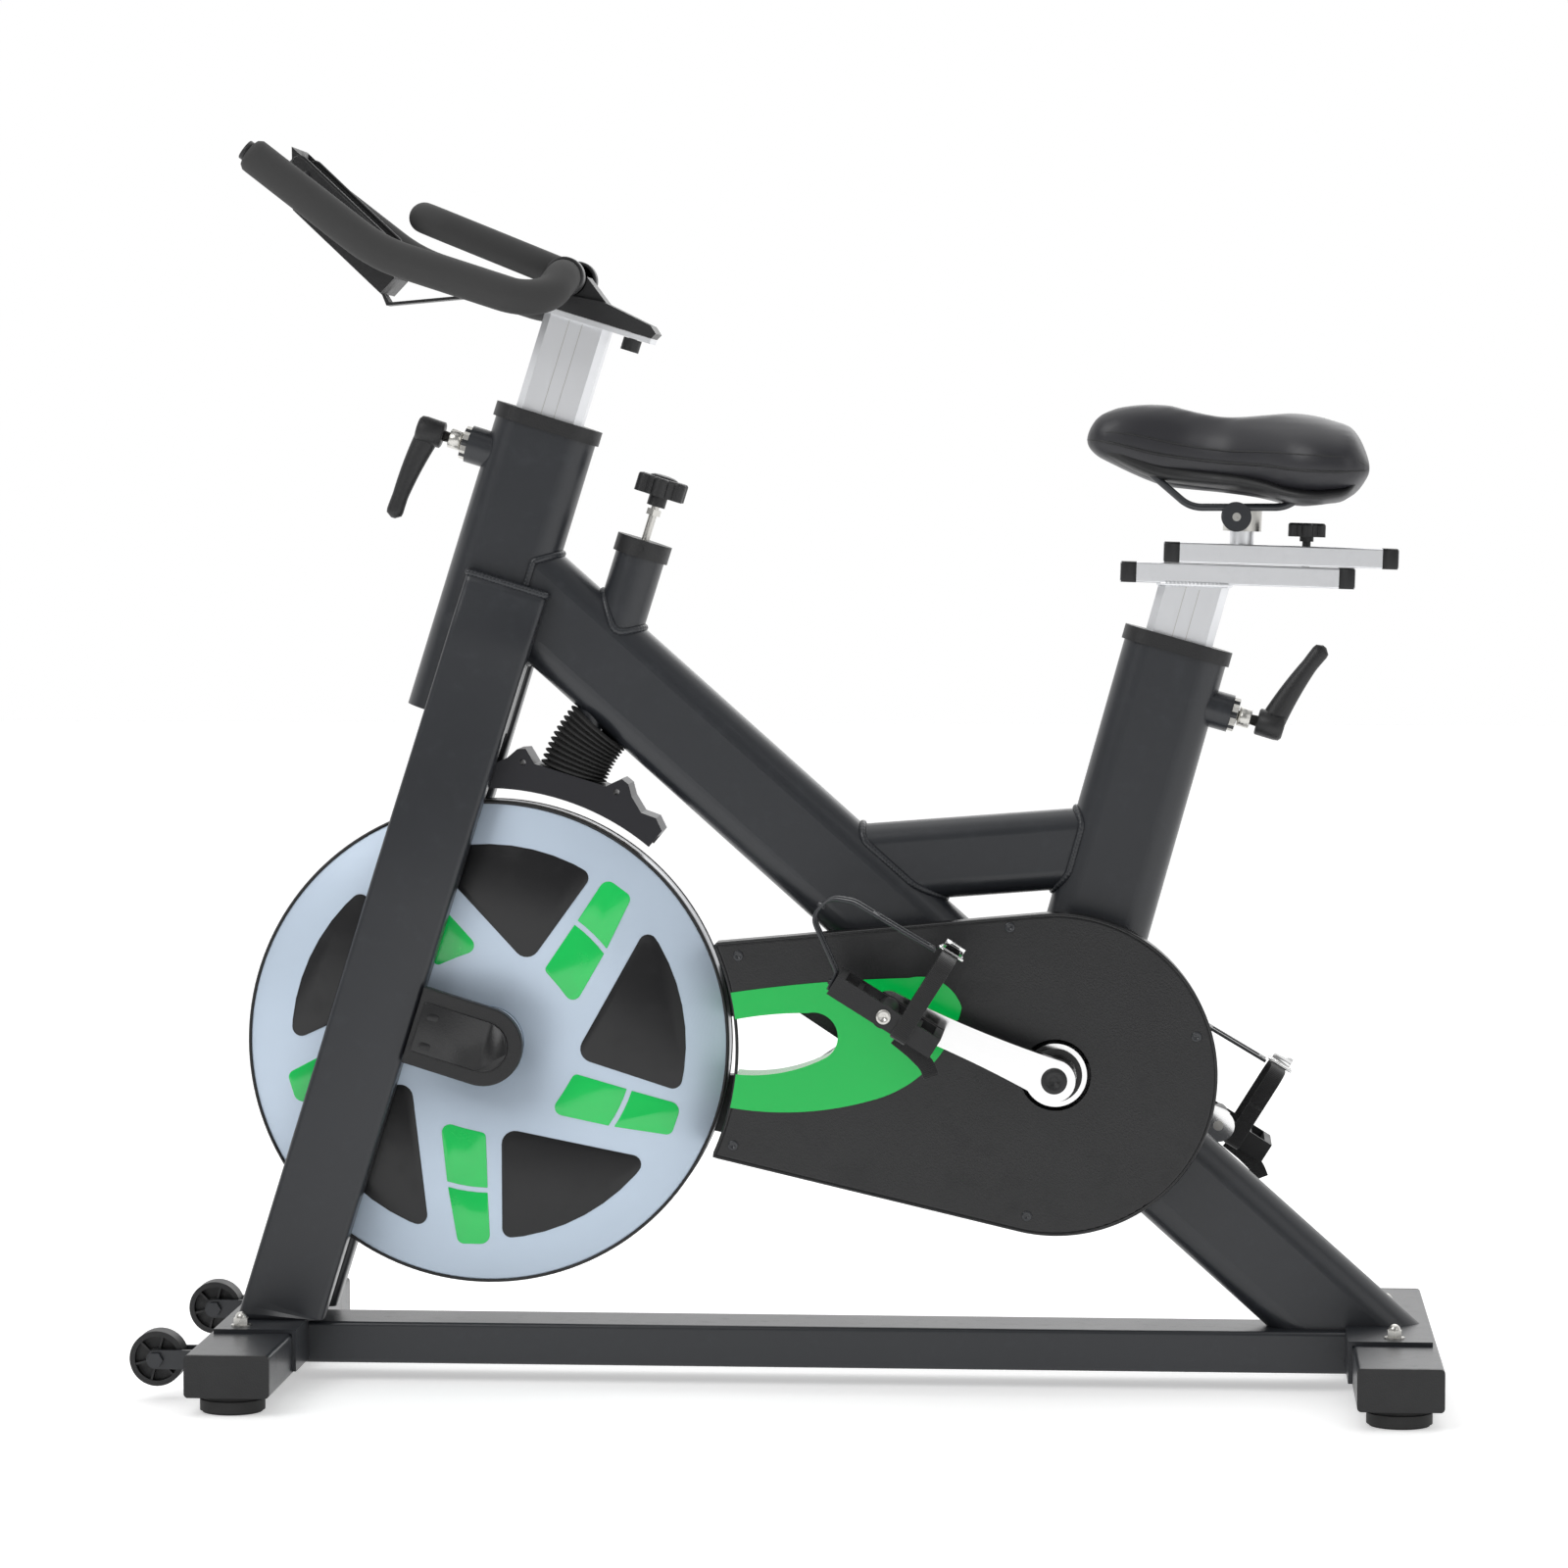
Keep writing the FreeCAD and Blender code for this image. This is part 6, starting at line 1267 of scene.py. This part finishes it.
class BIKE_OT_small_parts(Operator):
    """Ribs and bolts of the transport wheels, edges of the tray and the brake knob's dome."""

    bl_idname = "bike.small_parts"
    bl_label = "Small Parts"

    def execute(self, context):
        for side, label in SIDES:
            centre = place_of(label + "_wheel_roll")
            low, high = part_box(label + "_transport_wheel")
            half = (high[1] - low[1]) / 2
            ribs = []
            for face in (-1, 1):
                for step in range(6):
                    turn = math.radians(60 * step + 15)
                    out = np.array([math.cos(turn), 0.0, math.sin(turn)])
                    ring = np.array([centre + out * 0.0095, centre + out * 0.0215])
                    ring = ring + ACROSS * face * (half - 0.0040)
                    ribs.append(swept(ring, np.array([[-0.0010, -0.0032], [0.0010, -0.0032],
                                                      [0.0010, 0.0032], [-0.0010, 0.0032]])))
            finish_piece(put_many("wheel_ribs_" + label, ribs, smooth=False),
                         "moulding", label + "_wheel")
            head = [(-0.0005, 0.0062), (0.0002, 0.0066), (0.0040, 0.0066), (0.0046, 0.0058),
                    (0.0046, 0.0001)]
            bolt = spun(head, centre + ACROSS * side * (half + 0.0004), ACROSS * side, 6)
            finish_piece(put_many("wheel_bolt_" + label, [bolt], smooth=False),
                         "zinc_plate", label + "_wheel")
        low = np.array([-0.390, 0.0, 1.045])
        run = np.array([-math.cos(math.radians(43.5)), 0.0, math.sin(math.radians(43.5))])
        out = np.array([run[2], 0.0, -run[0]])
        spots = ((0.0010, 0.0195), (0.0320, 0.0430), (0.1560, 0.0430), (0.1150, 0.0010))
        for side, label in SIDES:
            points = [low + run * ahead + out * rise + ACROSS * side * 0.0466 for ahead, rise in spots]
            path = along_line(points, [0.006, 0.006], 0.003)
            finish_piece(tube_piece("tray_edge_" + label, path, 0.0019, 0.002, 12),
                         "cover_moulding", "handlebar")
        # Black discs on both sides of the tray are painted shade: they stand in for the tray's holes,
        # which look dark only from the shade inside them.
        hole = [(-0.0004, 0.0042), (0.0004, 0.0042), (0.0006, 0.0036), (0.0006, 0.0001)]
        spot = low + run * 0.128 + out * 0.033
        holes = [spun(hole, spot + ACROSS * side * 0.048, ACROSS * side, 20) for side in (-1, 1)]
        finish_piece(put_many("tray_hole_shade", holes), "print_black_and_painted_shade", "handlebar")
        top = WHEEL + HEAD_UP * 0.5674
        dome = [(-0.0010, 0.0135), (0.0008, 0.0135), (0.0022, 0.0100), (0.0028, 0.0050),
                (0.0030, 0.0001)]
        finish_piece(put_many("brake_knob_dome", [spun(dome, top, HEAD_UP, 32)]),
                     "cover_moulding", "brake_knob")
        return {"FINISHED"}


# ---------------------------------------------------------------------------------------------------
# Finishes and stage
# ---------------------------------------------------------------------------------------------------
HEAD_TURN = (0.0, -math.atan2(HEAD_UP[0], HEAD_UP[2]), 0.0)
CAD_FINISHES = {
    "powder_coat": ["stabilisers", "base_rail", "saddle_plates", "head_tube", "main_beam", "seat_tube",
                    "link_tube", "bracket_shell", "fork_legs", "axle_dropouts", "clamp_bosses",
                    "brake_tube", "wheel_brackets"],
    "moulding": ["stabiliser_end_caps", "tube_collars", "axle_covers", "chain_case", "brake_cap",
                 "brake_knob", "handlebar_knob", "saddle_knob", "left_transport_wheel",
                 "right_transport_wheel", "head_clamp_lever", "seat_clamp_lever", "handlebar_base",
                 "left_pedal", "right_pedal", "handlebar_tray"],
    "cover_moulding": ["side_cover"],
    "rubber": ["rubber_feet"],
    "zinc_plate": ["acorn_nuts", "flywheel_axle", "flywheel_sprocket", "brake_rod", "brake_spring",
                   "pedal_spindles", "saddle_clamp", "chainring", "drive_chain"],
    "chrome": ["left_crank_arm", "right_crank_arm", "bearing_cups", "flywheel_bearings",
               "crank_spindle"],
    "brushed_aluminium": ["handlebar_post", "seat_post", "saddle_carriage"],
    "flywheel_paint": ["flywheel"],
    "green_gloss": ["cover_insert"],
    "brake_casting": ["brake_shoe"],
    "felt": ["brake_pad"],
    "black_steel": ["saddle_frame", "left_toe_cage", "right_toe_cage"],
}


class BIKE_OT_finishes(Operator):
    """Make every finish and give the frame's own pieces theirs."""

    bl_idname = "bike.finishes"
    bl_label = "Finishes"

    def execute(self, context):
        tones = context.scene.bike_colours
        coated("powder_coat", tones.frame_paint, 0.30, 0.00010, coat=0.15)
        coated("black_steel", tones.frame_paint, 0.24, 0.00005, coat=0.3)
        coated("brake_casting", tones.frame_paint, 0.34, 0.00030)
        moulded("moulding", tones.moulding)
        moulded("cover_moulding", tones.moulding, 0.33, 700.0, 0.00009)
        glossed("green_gloss", tones.accent)
        glossed("spoke_green", tones.accent, 0.20)
        # Black of the flywheel's printed windows; the same black is painted shade on the axle cover
        # slots and the tray's holes.
        moulded("print_black_and_painted_shade", (0.004, 0.004, 0.005), 0.34, 900.0, 0.00002)
        metal("zinc_plate", (0.60, 0.59, 0.56), 0.24, (260.0, 260.0, 260.0))
        metal("chrome", (0.78, 0.79, 0.81), 0.06, (90.0, 90.0, 90.0), depth=0.00001, stain=0.12)
        metal("brushed_aluminium", (0.80, 0.81, 0.83), 0.34, (700.0, 700.0, 14.0), HEAD_TURN)
        metal("turned_steel", (0.42, 0.43, 0.45), 0.28, (40.0, 900.0, 40.0), depth=0.00002)
        rubbery("rubber", tones.rubber)
        rubbery("felt", (0.12, 0.10, 0.075))
        foamy("grip_foam", tones.foam)
        vinyl("saddle_vinyl", tones.vinyl)
        webbing("strap_webbing", tones.foam)
        wheel_paint("flywheel_paint", tones.wheel_face)
        paper("stage_floor", tones.floor)
        for name, nodes in CAD_FINISHES.items():
            for node in nodes:
                slots = NODES[node].material_slots
                if not slots:
                    raise RuntimeError("%s has no material slot" % node)
                for slot in slots:
                    slot.material = finish_of(name)
        return {"FINISHED"}


class BIKE_OT_stage(Operator):
    """Pale floor, soft light and the camera."""

    bl_idname = "bike.stage"
    bl_label = "Stage"

    def execute(self, context):
        reach = 14.0
        corners = np.array([[-reach, -reach, 0], [reach, -reach, 0], [reach, reach, 0],
                            [-reach, reach, 0]], float) - [0, 0, 0.0005]
        floor = put_mesh("stage_floor", corners, [[0, 1, 2, 3]], smooth=False)
        floor.data.materials.append(finish_of("stage_floor"))
        world = bpy.data.worlds.new("studio")
        world.use_nodes = True
        sky = world.node_tree.nodes["Background"]
        sky.inputs["Strength"].default_value = 1.0
        nodes, links = world.node_tree.nodes, world.node_tree.links
        where = nodes.new("ShaderNodeTexCoord")
        parts = nodes.new("ShaderNodeSeparateXYZ")
        depth = nodes.new("ShaderNodeMapRange")
        depth.inputs["From Min"].default_value = -0.35
        depth.inputs["From Max"].default_value = 0.10
        depth.inputs["To Min"].default_value = 0.26
        links.new(where.outputs["Generated"], parts.inputs["Vector"])
        links.new(parts.outputs["Y"], depth.inputs["Value"])
        links.new(depth.outputs["Result"], sky.inputs["Color"])
        context.scene.world = world
        lamps = (("key", (-2.2, -3.0, 3.4), 2.6, 72.0), ("fill", (3.0, -2.6, 1.9), 2.4, 16.0),
                 ("rim", (1.0, 3.0, 2.6), 2.6, 26.0), ("top", (0.0, -0.2, 3.6), 3.2, 20.0))
        for name, spot, size, power in lamps:
            lamp = bpy.data.lights.new(name, "AREA")
            lamp.shape, lamp.size, lamp.energy = "SQUARE", size, power
            stand = bpy.data.objects.new(name, lamp)
            stand.location = spot
            aim = Vector((0, 0, 0.55)) - Vector(spot)
            stand.rotation_euler = aim.to_track_quat("-Z", "Y").to_euler()
            context.collection.objects.link(stand)
        lens = bpy.data.cameras.new("camera")
        lens.lens, lens.sensor_width, lens.clip_end = 124.7, 36.0, 60.0
        camera = bpy.data.objects.new("camera", lens)
        camera.location = (0.3605, -5.197, 0.870)
        aim = Vector((-0.0079, 0.0, 0.5758)) - camera.location
        camera.rotation_euler = aim.to_track_quat("-Z", "Y").to_euler()
        context.collection.objects.link(camera)
        context.scene.camera = camera
        context.scene.view_settings.view_transform = "Standard"
        return {"FINISHED"}


class BIKE_PT_pieces(Panel):
    """Sidebar list of the bike's pieces, sizes and colours."""

    bl_label = "Indoor Spin Bike"
    bl_idname = "BIKE_PT_pieces"
    bl_space_type = "VIEW_3D"
    bl_region_type = "UI"
    bl_category = "Spin Bike"

    def draw(self, context):
        """List the operators and both groups of settings."""
        for step in STEPS:
            self.layout.operator(step.bl_idname)
        for group in (context.scene.bike_sizes, context.scene.bike_colours):
            for name in group.__annotations__:
                self.layout.prop(group, name)


STEPS = (BIKE_OT_finishes, BIKE_OT_flywheel, BIKE_OT_grips, BIKE_OT_bellows, BIKE_OT_fork,
         BIKE_OT_welds, BIKE_OT_saddle, BIKE_OT_slide, BIKE_OT_cover_trim, BIKE_OT_toe_cages,
         BIKE_OT_levers, BIKE_OT_small_parts)
CLASSES = (BikeColours, BikeSizes) + STEPS + (BIKE_OT_stage, BIKE_PT_pieces)


def register():
    """Register the classes and hang the two groups of settings on the scene."""
    for item in CLASSES:
        bpy.utils.register_class(item)
    bpy.types.Scene.bike_colours = PointerProperty(type=BikeColours)
    bpy.types.Scene.bike_sizes = PointerProperty(type=BikeSizes)


def unregister():
    """Take the settings and the classes away again."""
    del bpy.types.Scene.bike_sizes
    del bpy.types.Scene.bike_colours
    for item in reversed(CLASSES):
        bpy.utils.unregister_class(item)


def main():
    register()
    for step in STEPS + (BIKE_OT_stage,):
        family, name = step.bl_idname.split(".")
        getattr(getattr(bpy.ops, family), name)()
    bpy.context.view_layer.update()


if __name__ == "__main__":
    main()
